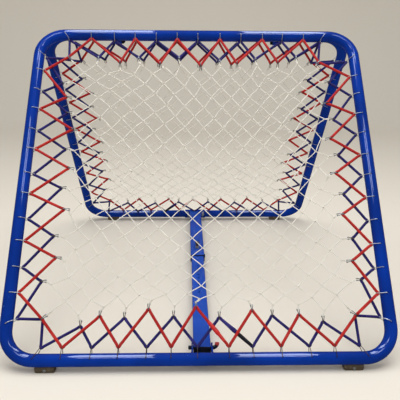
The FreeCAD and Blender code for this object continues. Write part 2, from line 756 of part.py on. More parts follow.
def make_strut_plastics():
    """Black collar at the sleeve's mouth, and a cap in each open tube end."""
    rim = size("collar_rim")
    mouth = size("sleeve_mouth")
    width = size("sleeve_width")
    height = size("sleeve_height")
    collar = strut_box(width + 2 * rim, height + 2 * rim, mouth - size("collar_thick"), mouth)
    play = size("bar_play")
    collar = collar.cut(strut_box(bar_width + play, bar_height_outside + play, 0, mouth + 1))
    shape_part("sleeve_collar", collar, strut_stand)
    nose = -size("bar_nose")
    wall = size("bar_wall") + size("cap_fit")
    bar_cap = strut_box(bar_width, bar_height_outside, nose - size("cap_thick"), nose)
    depth = size("cap_depth")
    bar_plug = strut_box(bar_width - 2 * wall, bar_height_outside - 2 * wall, nose, nose + depth)
    shape_part("bar_cap", bar_cap.fuse(bar_plug), strut_stand)
    tail = strut_length + size("sleeve_nose")
    wall = size("sleeve_wall") + size("cap_fit")
    sleeve_cap = strut_box(width, height, tail, tail + size("cap_thick"))
    sleeve_plug = strut_box(width - 2 * wall, height - 2 * wall, tail - depth, tail)
    shape_part("sleeve_cap", sleeve_cap.fuse(sleeve_plug), strut_stand)


def make_lock():
    """Threaded boss on the sleeve, and a plunger parked just clear of the inner tube."""
    top = size("sleeve_height") / 2
    middle = Vector(0, lock_reach, top)
    upright = Vector(0, 0, 1)
    boss = Part.makeCylinder(size("boss_dia") / 2, size("boss_height"), middle, upright)
    boss = boss.cut(Part.makeCylinder(size("lock_dia") / 2, size("boss_height"), middle, upright))
    shape_part("lock_boss", boss, strut_stand)
    nose_from = Vector(0, lock_reach, bar_height_outside / 2 + size("plunger_lift"))
    knob_from = middle + upright * (size("boss_height") + size("plunger_travel"))
    nose_length = knob_from.z - nose_from.z
    nose = Part.makeCylinder(size("plunger_dia") / 2, nose_length, nose_from, upright)
    knob = Part.makeCylinder(size("knob_dia") / 2, size("knob_height"), knob_from, upright)
    shape_part("lock_plunger", nose.fuse(knob).removeSplitter(), strut_stand)


def make_pivot_bolt():
    """Bolt and nut through the back bracket and the sleeve's end."""
    reach = size("sleeve_width") / 2 + size("pivot_play") + size("pivot_plate")
    shank = size("pivot_dia")
    across = 1.7 * shank
    nut_height = 0.8 * shank
    start = Vector(-reach, strut_length, 0)
    bolt = hex_bolt(shank, 2 * reach + nut_height + size("thread_out"), across, 0.64 * shank)
    bolt.translate(start)
    nut = hex_nut(shank + 2 * size("pin_fit"), across, nut_height)
    nut.translate(start + Vector(2 * reach, 0, 0))
    shape_part("back_pivot_bolt", bolt, strut_stand)
    shape_part("back_pivot_nut", nut, strut_stand)


def make_release_pin():
    """Pull pin of the front pivot: a rod with a bent end and a dipped tip."""
    reach = bar_width / 2 + size("pivot_play") + size("pivot_plate")
    radius = size("pivot_dia") / 2
    bend_r = size("pivot_dia")
    start = Vector(-reach - size("pin_tail"), 0, 0)
    bend_at = Vector(reach + size("pin_handle") - bend_r, 0, 0)
    lean = Vector(0, 0.5, 1).normalize()
    centre = bend_at + lean * bend_r
    along = Vector(1, 0, 0)
    shank = Part.makeCylinder(radius, bend_at.x - start.x, start, along)
    section = Part.Face(Part.Wire([Part.makeCircle(radius, bend_at, along)]))
    bend = section.revolve(centre, along.cross(lean), 90)
    tip = Part.makeCylinder(radius, size("pin_hook"), centre + along * bend_r, lean)
    shape_part("release_pin", shank.fuse([bend, tip]).removeSplitter(), strut_stand)


for side in ("front", "back"):
    make_ring(side)
    make_net(side)
    make_cord(side, "red")
    make_cord(side, "blue")
    make_splices(side)
    make_ties(side)
    make_hooks(side)
    make_hinge_ears(side)
    make_feet(side)
make_hinge_bolts()
make_front_bracket()
make_back_bracket()
make_strut_bar()
make_strut_sleeve()
make_strut_plastics()
make_lock()
make_pivot_bolt()
make_release_pin()

doc.recompute()
for thing in doc.Objects:
    for word in ("Invalid", "Error"):
        if word in thing.State:
            raise RuntimeError(f"{thing.Name} is {word}")
for thing in parts:
    if thing.Shape.isNull() or not thing.Shape.isValid():
        raise RuntimeError(f"{thing.Label} has no valid shape")

os.makedirs("parts", exist_ok=True)
for thing in parts:
    thing.Shape.exportStep(f"parts/{thing.Label}.step")
print(f"{len(parts)} parts; strut {strut_length:.1f} mm between pivots")
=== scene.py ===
"""Looks of a pitch back rebounder: two netted square rings of steel tube, hinged along their top
bars and held apart by a telescopic strut. Metres, in the frame of the CAD model: +Z up, +Y
towards the back ring, origin on the floor in the middle."""

import logging
import math
from collections.abc import Callable, Iterator, Sequence
from contextlib import contextmanager
from dataclasses import dataclass
from enum import Enum

import bmesh
import bpy
import numpy as np
from bpy.types import Material, Node, NodeSocket, NodeTree, Object
from mathutils import Matrix, Vector

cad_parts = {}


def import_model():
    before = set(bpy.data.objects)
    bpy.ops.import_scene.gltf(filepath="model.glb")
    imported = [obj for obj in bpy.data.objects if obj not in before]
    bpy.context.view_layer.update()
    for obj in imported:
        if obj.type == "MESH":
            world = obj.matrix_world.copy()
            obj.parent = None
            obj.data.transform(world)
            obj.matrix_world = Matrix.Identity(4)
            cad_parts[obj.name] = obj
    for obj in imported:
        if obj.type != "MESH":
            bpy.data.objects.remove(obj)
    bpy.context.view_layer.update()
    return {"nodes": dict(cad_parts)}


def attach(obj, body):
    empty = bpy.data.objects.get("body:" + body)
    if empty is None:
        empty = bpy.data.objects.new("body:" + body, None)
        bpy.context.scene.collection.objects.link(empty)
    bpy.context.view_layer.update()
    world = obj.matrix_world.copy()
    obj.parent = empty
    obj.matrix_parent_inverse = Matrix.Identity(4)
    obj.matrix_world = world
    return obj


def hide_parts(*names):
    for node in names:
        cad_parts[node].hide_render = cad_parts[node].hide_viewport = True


logging.basicConfig(level=logging.INFO, format="%(message)s")
log = logging.getLogger("rebounder")

Route = Sequence[Vector]
Profile = Sequence[tuple[float, float]]
Knots = dict[tuple[int, int], Vector]
Test = Callable[[Vector, Vector], bool]


class Side(Enum):
    """The two rings."""

    FRONT = "front"
    BACK = "back"


class Part(Enum):
    """Kinds of mesh element that can be picked for the next step."""

    EDGES = "EDGE"
    FACES = "FACE"


@dataclass(frozen=True)
class Plan:
    """Sizes that all the sub-assemblies share, in metres and degrees."""

    half: float = 0.484
    bend: float = 0.076
    tube: float = 0.016
    base_angle: float = 53.5
    pivot_back: float = 0.027
    bar_height: float = 0.028
    tie_line: float = 0.460
    tie_pitch: float = 0.066
    hook_pitch: float = 0.061
    reach_red: float = 0.376
    reach_blue: float = 0.392
    reach_corner: float = 0.386
    level_red: float = 0.00475
    level_blue: float = -0.0037
    strut_x: float = 0.005
    strut_y: float = -0.557944
    strut_z: float = 0.036055
    strut_length: float = 1.115888
    hinge_spread: float = 0.25
    bracket_reach: float = 0.030

    @property
    def bracket_angle(self) -> float:
        """Direction in radians, in a ring's plane, from its bottom bar to the strut's pivot."""
        return math.atan2(-self.pivot_back, self.bracket_reach)

    def ring_plane(self, side: Side) -> Matrix:
        """Place of a ring's flat drawing, with +Z on its playing side."""
        tilt = math.radians(self.base_angle)
        middle = Vector((
            0,
            -self.half * math.cos(tilt) - self.pivot_back * math.sin(tilt),
            self.bar_height + self.half * math.sin(tilt),
        ))
        front = Matrix.Translation(middle) @ Matrix.Rotation(tilt, 4, "X")
        return front if side is Side.FRONT else Matrix.Rotation(math.pi, 4, "Z") @ front

    def strut_place(self) -> Matrix:
        """Place of the strut's drawing: along +Y from the front pivot."""
        return Matrix.Translation((self.strut_x, self.strut_y, self.strut_z))


PLAN = Plan()
QUARTERS = tuple(Matrix.Rotation(-math.pi / 2 * turn, 4, "Z") for turn in range(4))
ALONG_X = Matrix.Rotation(math.pi / 2, 4, "Y")


# Shaping


def release() -> None:
    """Leave edit mode with nothing selected, so that a step acts on its own piece alone."""
    active = bpy.context.view_layer.objects.active
    if active is not None and active.mode != "OBJECT":
        bpy.ops.object.mode_set(mode="OBJECT")
    bpy.ops.object.select_all(action="DESELECT")


def pick(*pieces: Object) -> None:
    """Select these pieces alone and make the first one active."""
    release()
    for piece in pieces:
        piece.select_set(True)
    bpy.context.view_layer.objects.active = pieces[0]


def settle(piece: Object, place: Matrix | None = None) -> Object:
    """Put a piece in its place and apply that place to its mesh.

    Args:
        piece: The piece to place.
        place: Where its drawing goes; without it only its own place is applied.

    Returns:
        The same piece, at the origin and unturned.
    """
    pick(piece)
    if place is not None:
        piece.matrix_world = place @ piece.matrix_world
    bpy.ops.object.transform_apply(location=True, rotation=True, scale=True)
    return piece


def added() -> Object:
    """The primitive that was just added, with its place applied to its mesh."""
    return settle(bpy.context.view_layer.objects.active)


@contextmanager
def shaping(piece: Object, part: Part, test: Test) -> Iterator[None]:
    """Edit mode on one piece, with only the elements that pass a test selected.

    Args:
        piece: The piece to shape.
        part: Whether edges or faces are picked.
        test: Takes an element's middle and its direction or normal, and says whether it is picked.
    """
    pick(piece)
    bpy.ops.object.mode_set(mode="EDIT")
    bpy.ops.mesh.select_mode(type=part.value)
    bpy.ops.mesh.select_all(action="DESELECT")
    bpy.ops.object.mode_set(mode="OBJECT")
    mesh = piece.data
    if part is Part.FACES:
        for face in mesh.polygons:
            face.select = test(face.center, face.normal)
    else:
        for edge in mesh.edges:
            start, end = (mesh.vertices[i].co for i in edge.vertices)
            edge.select = test((start + end) / 2, (end - start).normalized())
    bpy.ops.object.mode_set(mode="EDIT")
    yield
    bpy.ops.object.mode_set(mode="OBJECT")


def extrude(move: Sequence[float]) -> None:
    """Extrude what is picked in edit mode along a vector."""
    bpy.ops.mesh.extrude_region_move(TRANSFORM_OT_translate={"value": move})


def smooth(piece: Object, angle: float) -> Object:
    """Shade a piece smooth wherever its faces meet at less than an angle in degrees."""
    pick(piece)
    bpy.ops.object.shade_smooth_by_angle(angle=math.radians(angle))
    return piece


def link(name: str, data: bpy.types.ID) -> Object:
    """Put a mesh, curve, lamp or camera in the scene as a new object."""
    piece = bpy.data.objects.new(name, data)
    bpy.context.scene.collection.objects.link(piece)
    return piece


def everything(middle: Vector, way: Vector) -> bool:
    """Pick every element."""
    return True


def along_y(middle: Vector, way: Vector) -> bool:
    """Pick edges that run along Y, or faces that look along it."""
    return abs(way.y) > 0.9


def close_up(piece: Object, angle: float = 35) -> Object:
    """Merge doubles, turn all faces outwards and smooth the piece up to an angle in degrees."""
    with shaping(piece, Part.FACES, everything):
        bpy.ops.mesh.remove_doubles(threshold=0.000005)
        bpy.ops.mesh.normals_make_consistent(inside=False)
    return smooth(piece, angle)


def join(name: str, pieces: Sequence[Object]) -> Object:
    """Make one named piece of several."""
    pick(*pieces)
    if len(pieces) > 1:
        bpy.ops.object.join()
    piece = bpy.context.view_layer.objects.active
    piece.name = piece.data.name = name
    return piece


def copies(name: str, pattern: Object, places: Sequence[Matrix]) -> Object:
    """Copy a piece that is modelled once to all its places, as one mesh, and drop the pattern."""
    gathered = bmesh.new()
    for place in places:
        one = pattern.data.copy()
        one.transform(place)
        gathered.from_mesh(one)
        bpy.data.meshes.remove(one)
    mesh = bpy.data.meshes.new(name)
    gathered.to_mesh(mesh)
    gathered.free()
    bpy.data.objects.remove(pattern)
    return link(name, mesh)


def block(size: Sequence[float], middle: Sequence[float], edge: float, steps: int = 3) -> Object:
    """Block with rounded edges.

    Args:
        size: Its width, depth and height.
        middle: Its middle.
        edge: Radius of its edges.
        steps: Faces round an edge.

    Returns:
        The new piece.
    """
    release()
    bpy.ops.mesh.primitive_cube_add(size=1, location=middle, scale=size)
    piece = added()
    with shaping(piece, Part.EDGES, everything):
        bpy.ops.mesh.bevel(offset=edge, segments=steps, affect="EDGES", clamp_overlap=True)
    return piece


def turned(profile: Profile, sides: int = 32, place: Matrix | None = None) -> Object:
    """Solid turned about Z, or a prism with shaped ends where it has few sides.

    Args:
        profile: Radius and height of each step, from the bottom up.
        sides: Sides of the round.
        place: Where it goes.

    Returns:
        The new piece, closed.
    """
    release()
    radius, height = profile[0]
    bpy.ops.mesh.primitive_circle_add(
        vertices=sides, radius=radius, fill_type="NGON", location=(0, 0, height)
    )
    piece = added()
    with shaping(piece, Part.FACES, everything):
        for (before, low), (after, high) in zip(profile, profile[1:]):
            extrude((0, 0, high - low))
            share = after / before
            bpy.ops.transform.resize(value=(share, share, 1), center_override=(0, 0, 0))
    close_up(piece)
    return settle(piece, place)


def square_tube(
    width: float, height: float, wall: float, start: float, end: float, corner: float
) -> Object:
    """Rectangular tube along Y with rounded corners and an open bore.

    Args:
        width: Outside, along X.
        height: Outside, along Z.
        wall: Wall thickness.
        start: Lower end along Y.
        end: Upper end along Y.
        corner: Outside corner radius.

    Returns:
        The new piece.
    """
    release()
    bpy.ops.mesh.primitive_cube_add(
        size=1, location=(0, (start + end) / 2, 0), scale=(width, end - start, height)
    )
    tube = added()
    with shaping(tube, Part.EDGES, along_y):
        bpy.ops.mesh.bevel(offset=corner, segments=4, affect="EDGES")
    with shaping(tube, Part.FACES, along_y):
        bpy.ops.mesh.inset(thickness=wall)
        bpy.ops.mesh.delete(type="FACE")
    with shaping(tube, Part.EDGES, lambda middle, way: False):
        bpy.ops.mesh.select_non_manifold()
        bpy.ops.mesh.bridge_edge_loops()
    return close_up(tube, 40)


def bore(piece: Object, cutters: Sequence[Object]) -> Object:
    """Cut tools out of a piece and drop them."""
    tool = join("cutter", cutters)
    cut = piece.modifiers.new("cut", "BOOLEAN")
    cut.operation = "DIFFERENCE"
    cut.solver = "EXACT"
    cut.object = tool
    pick(piece)
    bpy.ops.object.modifier_apply(modifier=cut.name)
    bpy.data.objects.remove(tool)
    return close_up(piece)


def drill(radius: float, length: float, middle: Vector, turn: Matrix | None = None) -> Object:
    """Cutter for a round hole: along Z, or along the axis that a turn gives it."""
    place = Matrix.Translation(middle) @ (turn or Matrix.Identity(4))
    return turned(((radius, -length / 2), (radius, length / 2)), 24, place)


def wire(
    name: str, routes: Sequence[Route], radius: float, sides: int = 8, closed: bool = False,
    swells: Sequence[Sequence[float]] | None = None,
) -> Object:
    """Round wires along routes, as one mesh whose UV map holds length and share of a turn.

    Args:
        name: Name of the piece.
        routes: Points that each wire follows.
        radius: Wire radius.
        sides: Sides of the round, an even number.
        closed: Whether each route returns to its start.
        swells: Thickness factor at each point of each route.

    Returns:
        The new mesh piece.
    """
    curve = bpy.data.curves.new(name, "CURVE")
    curve.dimensions = "3D"
    curve.bevel_depth = radius
    curve.bevel_resolution = sides // 2 - 2
    for number, route in enumerate(routes):
        spline = curve.splines.new("POLY")
        spline.points.add(len(route) - 1)
        flat = [value for place in route for value in (*place, 1.0)]
        spline.points.foreach_set("co", flat)
        if swells is not None:
            spline.points.foreach_set("radius", list(swells[number]))
        spline.use_cyclic_u = closed
    pick(link(name, curve))
    bpy.ops.object.convert(target="MESH")
    piece = bpy.context.view_layer.objects.active
    unwrap_along(piece, routes, sides, closed)
    cap_ends(piece)
    return smooth(piece, 60)


def unwrap_along(piece: Object, routes: Sequence[Route], sides: int, closed: bool) -> None:
    """Lay a wire's UV map out in real length and share of a turn, for weaves that follow it."""
    along: list[float] = []
    turn_length: list[float] = []
    for route in routes:
        steps = [(b - a).length for a, b in zip(route, route[1:])]
        rings = [0.0, *np.cumsum(steps).tolist()]
        along += rings
        turn_length += [rings[-1] + (route[0] - route[-1]).length] * len(route)
    mesh = piece.data
    layer = mesh.uv_layers.active or mesh.uv_layers.new(name="UVMap")
    places = np.zeros((len(mesh.loops), 2), np.float32)
    for face in mesh.polygons:
        rings = [vertex // sides for vertex in face.vertices]
        turns = [vertex % sides for vertex in face.vertices]
        over_seam = max(turns) - min(turns) > 1
        over_end = closed and max(rings) - min(rings) > 1
        for loop, ring, turn in zip(face.loop_indices, rings, turns):
            length = along[ring]
            if over_end and ring == min(rings):
                length = turn_length[ring]
            places[loop] = (length, (sides if over_seam and turn == 0 else turn) / sides)
    layer.data.foreach_set("uv", places.ravel())


def cap_ends(piece: Object) -> None:
    """Close the open ends of wires."""
    shape = bmesh.new()
    shape.from_mesh(piece.data)
    open_edges = [edge for edge in shape.edges if edge.is_boundary]
    if open_edges:
        bmesh.ops.holes_fill(shape, edges=open_edges, sides=0)
    shape.to_mesh(piece.data)
    shape.free()


def rounded(corners: Route, trim: float, steps: int, closed: bool = True) -> list[Vector]:
    """Round a route's corners.

    Args:
        corners: The route's corner points.
        trim: Length of each run that a bend takes up.
        steps: Points in a bend.
        closed: Whether the route returns to its start.

    Returns:
        Points of the rounded route, which still passes through each corner's place.
    """
    points: list[Vector] = []
    count = len(corners)
    for index, corner in enumerate(corners):
        if not closed and index in (0, count - 1):
            points.append(corner.copy())
            continue
        start = corner + (corners[index - 1] - corner).normalized() * trim
        end = corner + (corners[(index + 1) % count] - corner).normalized() * trim
        over = corner * 2 - (start + end) / 2
        for step in range(steps):
            t = step / (steps - 1)
            points.append(start * (1 - t) ** 2 + over * (2 * t * (1 - t)) + end * t**2)
    return points


def arc(
    middle: tuple[float, float], radius: float, start: float, end: float, steps: int
) -> list[tuple[float, float]]:
    """Points of an arc in a plane, its angles in degrees."""
    angles = [math.radians(start + (end - start) * step / (steps - 1)) for step in range(steps)]
    return [(middle[0] + radius * math.cos(a), middle[1] + radius * math.sin(a)) for a in angles]


# Finishes


def srgb(code: str) -> tuple[float, float, float, float]:
    """Linear colour of an sRGB hex code."""
    parts = (int(code[i : i + 2], 16) / 255 for i in (1, 3, 5))
    lit = [c / 12.92 if c <= 0.04045 else ((c + 0.055) / 1.055) ** 2.4 for c in parts]
    return lit[0], lit[1], lit[2], 1.0


def add_node(
    tree: NodeTree,
    kind: str,
    settings: dict[str, object] | None = None,
    values: dict[int | str, object] | None = None,
    links: dict[int | str, NodeSocket] | None = None,
) -> Node:
    """Add a shader node.

    Args:
        tree: The material's node tree.
        kind: The node's type name.
        settings: Properties of the node.
        values: Constants on its input sockets.
        links: Output sockets that feed its inputs.

    Returns:
        The new node.
    """
    node = tree.nodes.new(kind)
    for name, value in (settings or {}).items():
        setattr(node, name, value)
    for name, value in (values or {}).items():
        node.inputs[name].default_value = value
    for name, source in (links or {}).items():
        tree.links.new(source, node.inputs[name])
    return node


def start_material(name: str, surface: dict[str, object]) -> tuple[Material, NodeTree, Node]:
    """New material with a plain shader.

    Args:
        name: The material's name.
        surface: Constants on the shader's sockets.

    Returns:
        The material, its tree and its shader.
    """
    material = bpy.data.materials.new(name)
    material.use_nodes = True
    tree = material.node_tree
    shader = tree.nodes["Principled BSDF"]
    for socket, value in surface.items():
        shader.inputs[socket].default_value = value
    return material, tree, shader


def speckle(tree: NodeTree, size: float, detail: float = 2.0) -> NodeSocket:
    """Soft noise over the object, with blotches of a real size in metres."""
    place = add_node(tree, "ShaderNodeTexCoord")
    noise = add_node(
        tree, "ShaderNodeTexNoise", {}, {"Scale": 1 / size, "Detail": detail},
        {"Vector": place.outputs["Object"]},
    )
    return noise.outputs["Fac"]


def ramp(
    tree: NodeTree, source: NodeSocket, low: float, high: float,
    to_low: float = 0.0, to_high: float = 1.0,
) -> NodeSocket:
    """Stretch the part of a value between two limits over another range."""
    node = add_node(
        tree, "ShaderNodeMapRange", {"interpolation_type": "SMOOTHSTEP"},
        {"From Min": low, "From Max": high, "To Min": to_low, "To Max": to_high},
        {"Value": source},
    )
    return node.outputs["Result"]


def calculate(
    tree: NodeTree, operation: str, values: dict[int, float], links: dict[int, NodeSocket]
) -> NodeSocket:
    """Result of a maths node."""
    return add_node(tree, "ShaderNodeMath", {"operation": operation}, values, links).outputs[0]


def along_wire(tree: NodeTree) -> tuple[NodeSocket, NodeSocket]:
    """Length along a wire in metres, and share of a turn round it, from its own UV map."""
    place = add_node(tree, "ShaderNodeUVMap", {"uv_map": "UVMap"})
    parts = add_node(tree, "ShaderNodeSeparateXYZ", {}, {}, {0: place.outputs[0]})
    return parts.outputs["X"], parts.outputs["Y"]


def winding(tree: NodeTree, pitch: float, starts: int) -> NodeSocket:
    """Wave of threads that wind round a wire: a crest at each pitch in metres, on some starts."""
    along, turn = along_wire(tree)
    lay = calculate(tree, "MULTIPLY", {1: starts * math.tau}, {0: turn})
    phase = calculate(tree, "MULTIPLY_ADD", {1: math.tau / pitch}, {0: along, 2: lay})
    return calculate(tree, "SINE", {}, {0: phase})


def blend_colours(
    tree: NodeTree, share: NodeSocket, first: object, second: object
) -> NodeSocket:
    """Mix two colours, each a hex code or a socket."""
    node = add_node(tree, "ShaderNodeMix", {"data_type": "RGBA"}, {}, {0: share})
    for index, colour in ((6, first), (7, second)):
        if isinstance(colour, str):
            node.inputs[index].default_value = srgb(colour)
        else:
            tree.links.new(colour, node.inputs[index])
    return node.outputs[2]


def relief(
    tree: NodeTree, shader: Node, height: NodeSocket,
    depth: float, strength: float = 1.0,
) -> None:
    """Give the shader the bumps of a height, whose full range is a real depth in metres."""
    bump = add_node(
        tree, "ShaderNodeBump", {}, {"Strength": strength, "Distance": depth}, {"Height": height}
    )
    tree.links.new(bump.outputs["Normal"], shader.inputs["Normal"])


@dataclass(frozen=True)
class Finish:
    """A finish, with the record's slot that names it. Its material is made at its first use."""

    name: str
    slot: str

    @property
    def material(self) -> Material:
        """The finish's material."""
        return bpy.data.materials.get(self.name) or self.make()

    def make(self) -> Material:
        """Build the material."""
        raise NotImplementedError


@dataclass(frozen=True)
class PowderCoat(Finish):
    """Polyester powder coat, sprayed and baked on steel tube: deep glossy colour, a faint orange
    peel, and small scuffs where it is handled."""

    colour: str
    shade: str
    scuff: str = "#5F7FC0"

    def make(self) -> Material:
        """Build the material."""
        material, tree, shader = start_material(
            self.name, {"Specular IOR Level": 0.02, "Coat Weight": 1.0, "Coat Roughness": 0.03}
        )
        broad = ramp(tree, speckle(tree, 0.16, 3), 0.35, 0.65)
        paint = blend_colours(tree, broad, self.colour, self.shade)
        # Scuffs of 2 to 5 mm, few and pale
        worn = ramp(tree, speckle(tree, 0.006, 6), 0.70, 0.76)
        place = ramp(tree, speckle(tree, 0.09, 2), 0.50, 0.62)
        scuffs = calculate(tree, "MULTIPLY", {}, {0: worn, 1: place})
        paint = blend_colours(tree, scuffs, paint, self.scuff)
        tree.links.new(paint, shader.inputs["Base Color"])
        tree.links.new(ramp(tree, broad, 0, 1, 0.30, 0.42), shader.inputs["Roughness"])
        # Orange peel of a baked powder coat, 2.5 mm from crest to crest
        relief(tree, shader, speckle(tree, 0.0025, 1), 0.00003, 0.25)
        return material


@dataclass(frozen=True)
class WovenCover(Finish):
    """Polyester sheath braided over rubber: thread ends cross in diamonds, dull, with a soft sheen,
    and painted shade in the gaps between the threads."""

    colour: str
    gap: str
    light: str
    pitch: float = 0.0052
    starts: int = 4

    def make(self) -> Material:
        """Build the material. The threads are 2.6 mm apart, twice the real ones, so they show."""
        material, tree, shader = start_material(
            self.name, {"Roughness": 0.72, "Specular IOR Level": 0.25}
        )
        waves = [winding(tree, self.pitch, starts) for starts in (self.starts, -self.starts)]
        weave = calculate(tree, "MULTIPLY", {}, dict(enumerate(waves)))
        thread = ramp(tree, weave, -0.6, 0.5)
        # The gap colour is painted shade in the hollows between the braided threads
        cover = blend_colours(tree, thread, self.gap, self.colour)
        faded = ramp(tree, speckle(tree, 0.035, 4), 0.48, 0.72, 0.0, 0.55)
        cover = blend_colours(tree, faded, cover, self.light)
        tree.links.new(cover, shader.inputs["Base Color"])
        relief(tree, shader, thread, 0.0005, 0.8)
        return material


@dataclass(frozen=True)
class Twine(Finish):
    """Spun polyester twine, laid from three strands: matt off-white with a slanting lay."""

    colour: str = "#F6F2E8"
    gap: str = "#C9C3B4"
    dusty: str = "#E6E0D2"
    pitch: float = 0.0045
    laid: bool = True

    def make(self) -> Material:
        """Build the material. The lay repeats every 4.5 mm, as on a 2.5 mm twine."""
        material, tree, shader = start_material(
            self.name, {"Roughness": 0.85, "Sheen Weight": 0.2, "Sheen Roughness": 0.5}
        )
        if self.laid:
            lay = ramp(tree, winding(tree, self.pitch, 1), -1, 0.2)
        else:
            lay = ramp(tree, speckle(tree, 0.0012, 2), 0.3, 0.6)
        # On laid twine the gap colour is painted shade in the grooves of the lay; on knots it is a
        # random darker mottle
        twine = blend_colours(tree, lay, self.gap, self.colour)
        dust = ramp(tree, speckle(tree, 0.12, 4), 0.5, 0.75, 0.0, 0.7)
        tree.links.new(blend_colours(tree, dust, twine, self.dusty), shader.inputs["Base Color"])
        relief(tree, shader, lay, 0.0004, 0.8)
        return material


@dataclass(frozen=True)
class Metal(Finish):
    """Bare or plated metal, drawn, turned or pressed: it mirrors softly, with fine grain and
    dull patches. Where zinc has whitened, only a share of it is bare metal."""

    colour: str
    tarnish: str
    shine: float
    dull: float
    grain: float = 0.0008
    bare: float = 1.0

    def make(self) -> Material:
        """Build the material."""
        material, tree, shader = start_material(self.name, {"Metallic": self.bare})
        patch = ramp(tree, speckle(tree, self.grain * 9, 5), 0.4, 0.66)
        tree.links.new(
            blend_colours(tree, patch, self.colour, self.tarnish), shader.inputs["Base Color"]
        )
        tree.links.new(ramp(tree, patch, 0, 1, self.shine, self.dull), shader.inputs["Roughness"])
        relief(tree, shader, speckle(tree, self.grain, 3), 0.00004, 0.6)
        return material


@dataclass(frozen=True)
class Moulded(Finish):
    """Moulded rubber or plastic: matt, with a fine grain from the mould and paler dust."""

    colour: str
    dust: str
    roughness: float
    grain: float = 0.0009
    dusty: float = 0.5

    def make(self) -> Material:
        """Build the material."""
        material, tree, shader = start_material(self.name, {"Roughness": self.roughness})
        dust = ramp(tree, speckle(tree, 0.012, 6), 0.45, 0.75, 0.0, self.dusty)
        tone = blend_colours(tree, dust, self.colour, self.dust)
        tree.links.new(tone, shader.inputs["Base Color"])
        relief(tree, shader, speckle(tree, self.grain, 2), 0.00012, 0.7)
        return material


@dataclass(frozen=True)
class WoundTape(Finish):
    """Vinyl tape wound round a cord: dark, half glossy, with a slanting edge at each turn."""

    colour: str
    edge: str
    width: float = 0.011

    def make(self) -> Material:
        """Build the material. A turn of 18 mm tape, lapped by a third, moves on 11 mm."""
        material, tree, shader = start_material(self.name, {"Roughness": 0.42})
        along, turn = along_wire(tree)
        turns = calculate(tree, "MULTIPLY_ADD", {1: 1 / self.width}, {0: along, 2: turn})
        edge = ramp(tree, calculate(tree, "FRACT", {}, {0: turns}), 0.0, 0.12)
        wrinkle = ramp(tree, speckle(tree, 0.004, 4), 0.35, 0.7)
        # The edge colour is painted light and shade on each turn's step: a lighter line on the
        # black tape, a darker line on the red sleeve
        tone = blend_colours(tree, edge, self.edge, self.colour)
        tree.links.new(tone, shader.inputs["Base Color"])
        height = calculate(tree, "MULTIPLY_ADD", {1: 0.35}, {0: wrinkle, 2: edge})
        relief(tree, shader, height, 0.0004, 0.9)
        return material


PAINT = PowderCoat("gloss_powder_coat", "ring_paint", "#07359A", "#062C82")
# Painted light: the strut has the rings' blue, made lighter because it faces up to the light
LIT_STRUT_PAINT = PowderCoat("strut_powder_coat_painted_lighter", "strut_paint", "#2456C6", "#1F4CB4")
# The second colour of each braided cover is painted shade for the gaps between its threads
RED_COVER = WovenCover("red_braided_polyester", "red_elastic", "#CE2018", "#7E0F0B", "#D43428")
NAVY_COVER = WovenCover("navy_braided_polyester", "blue_elastic", "#2A2178", "#120E3A", "#3A2F86")
TWINE = Twine("spun_polyester_twine", "net_twine")
KNOT = Twine("knotted_polyester_twine", "net_twine", laid=False)
GALVANISED = Metal(
    "galvanised_iron_wire", "galvanised_wire", "#C6C8C6", "#9C9E9C", 0.3, 0.5, bare=0.6
)
# Painted shade: a darker, browner copy of the galvanised wire for the ties of the bottom bar
SHADED_LOW_WIRE = Metal("shaded_galvanised_wire", "galvanised_wire", "#4A382C", "#281C14", 0.5, 0.7, bare=0.3)
HOOK = Metal("bright_steel_wire", "hook_steel", "#9C9A96", "#57524B", 0.25, 0.45, bare=0.9)
RUBBER = Moulded("moulded_brown_rubber", "foot_rubber", "#4C4031", "#7A6E58", 0.82)
ZINC = Metal("zinc_plated_steel", "zinc_steel", "#BFC1C2", "#9A9B98", 0.28, 0.45, bare=0.75)
BLACK_ZINC = Metal(
    "black_zinc_plated_steel", "zinc_steel", "#3A3C42", "#202126", 0.3, 0.5, bare=0.8
)
BRASS = Metal("turned_brass", "plunger_brass", "#B07A3C", "#6E4A26", 0.3, 0.5)
PLASTIC = Moulded(
    "moulded_black_plastic", "black_plastic", "#17181B", "#33353A", 0.48, 0.0007, 0.3
)
TAPE = WoundTape("wound_black_tape", "black_tape", "#0F0D14", "#26242F")
SLEEVE = WoundTape("wound_red_tape", "red_sleeve", "#CC1E16", "#8E120C", 0.013)
DIPPED = Moulded("dipped_red_vinyl", "zinc_steel", "#C43A34", "#E0908A", 0.38, 0.002, 0.35)
# Painted shade: the tie holes' rims and floors are dark to stand for the shade inside the holes
HOLE_SHADE = Moulded("drilled_hole_shadow", "ring_paint", "#080C16", "#1A2440", 0.9, 0.0006, 0.3)


def dress(piece: Object, finish: Finish, body: str, *stands_for: str) -> None:
    """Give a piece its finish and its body.

    Args:
        piece: The finished piece.
        finish: Its finish.
        body: The body that it moves with.
        stands_for: The CAD nodes that it is shown instead of.
    """
    piece.data.materials.clear()
    piece.data.materials.append(finish.material)
    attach(piece, body)
    if stands_for:
        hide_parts(*stands_for)
    log.info("%s: %d faces, rides on %s", piece.name, len(piece.data.polygons), body)


def dress_node(node: Object, finish: Finish) -> None:
    """Give a CAD node that stays in sight its finish."""
    node.data.materials.clear()
    node.data.materials.append(finish.material)
    log.info("%s: kept, %s", node.name, finish.name)


# Sub-assemblies


@dataclass
class RingPiece:
    """Anything that one of the two rings carries."""

    side: Side

    def seat(self, word: str, piece: Object) -> Object:
        """Name a piece after its ring and put its flat drawing in the ring's plane."""
        return settle(join(f"{self.side.value}_{word}", [piece]), PLAN.ring_plane(self.side))

    def dress(self, piece: Object, finish: Finish, *stands_for: str) -> None:
        """Dress a piece that moves with the ring and stands for CAD nodes of the same side."""
        side = self.side.value
        dress(piece, finish, f"{side}_frame", *(f"{side}_{node}" for node in stands_for))


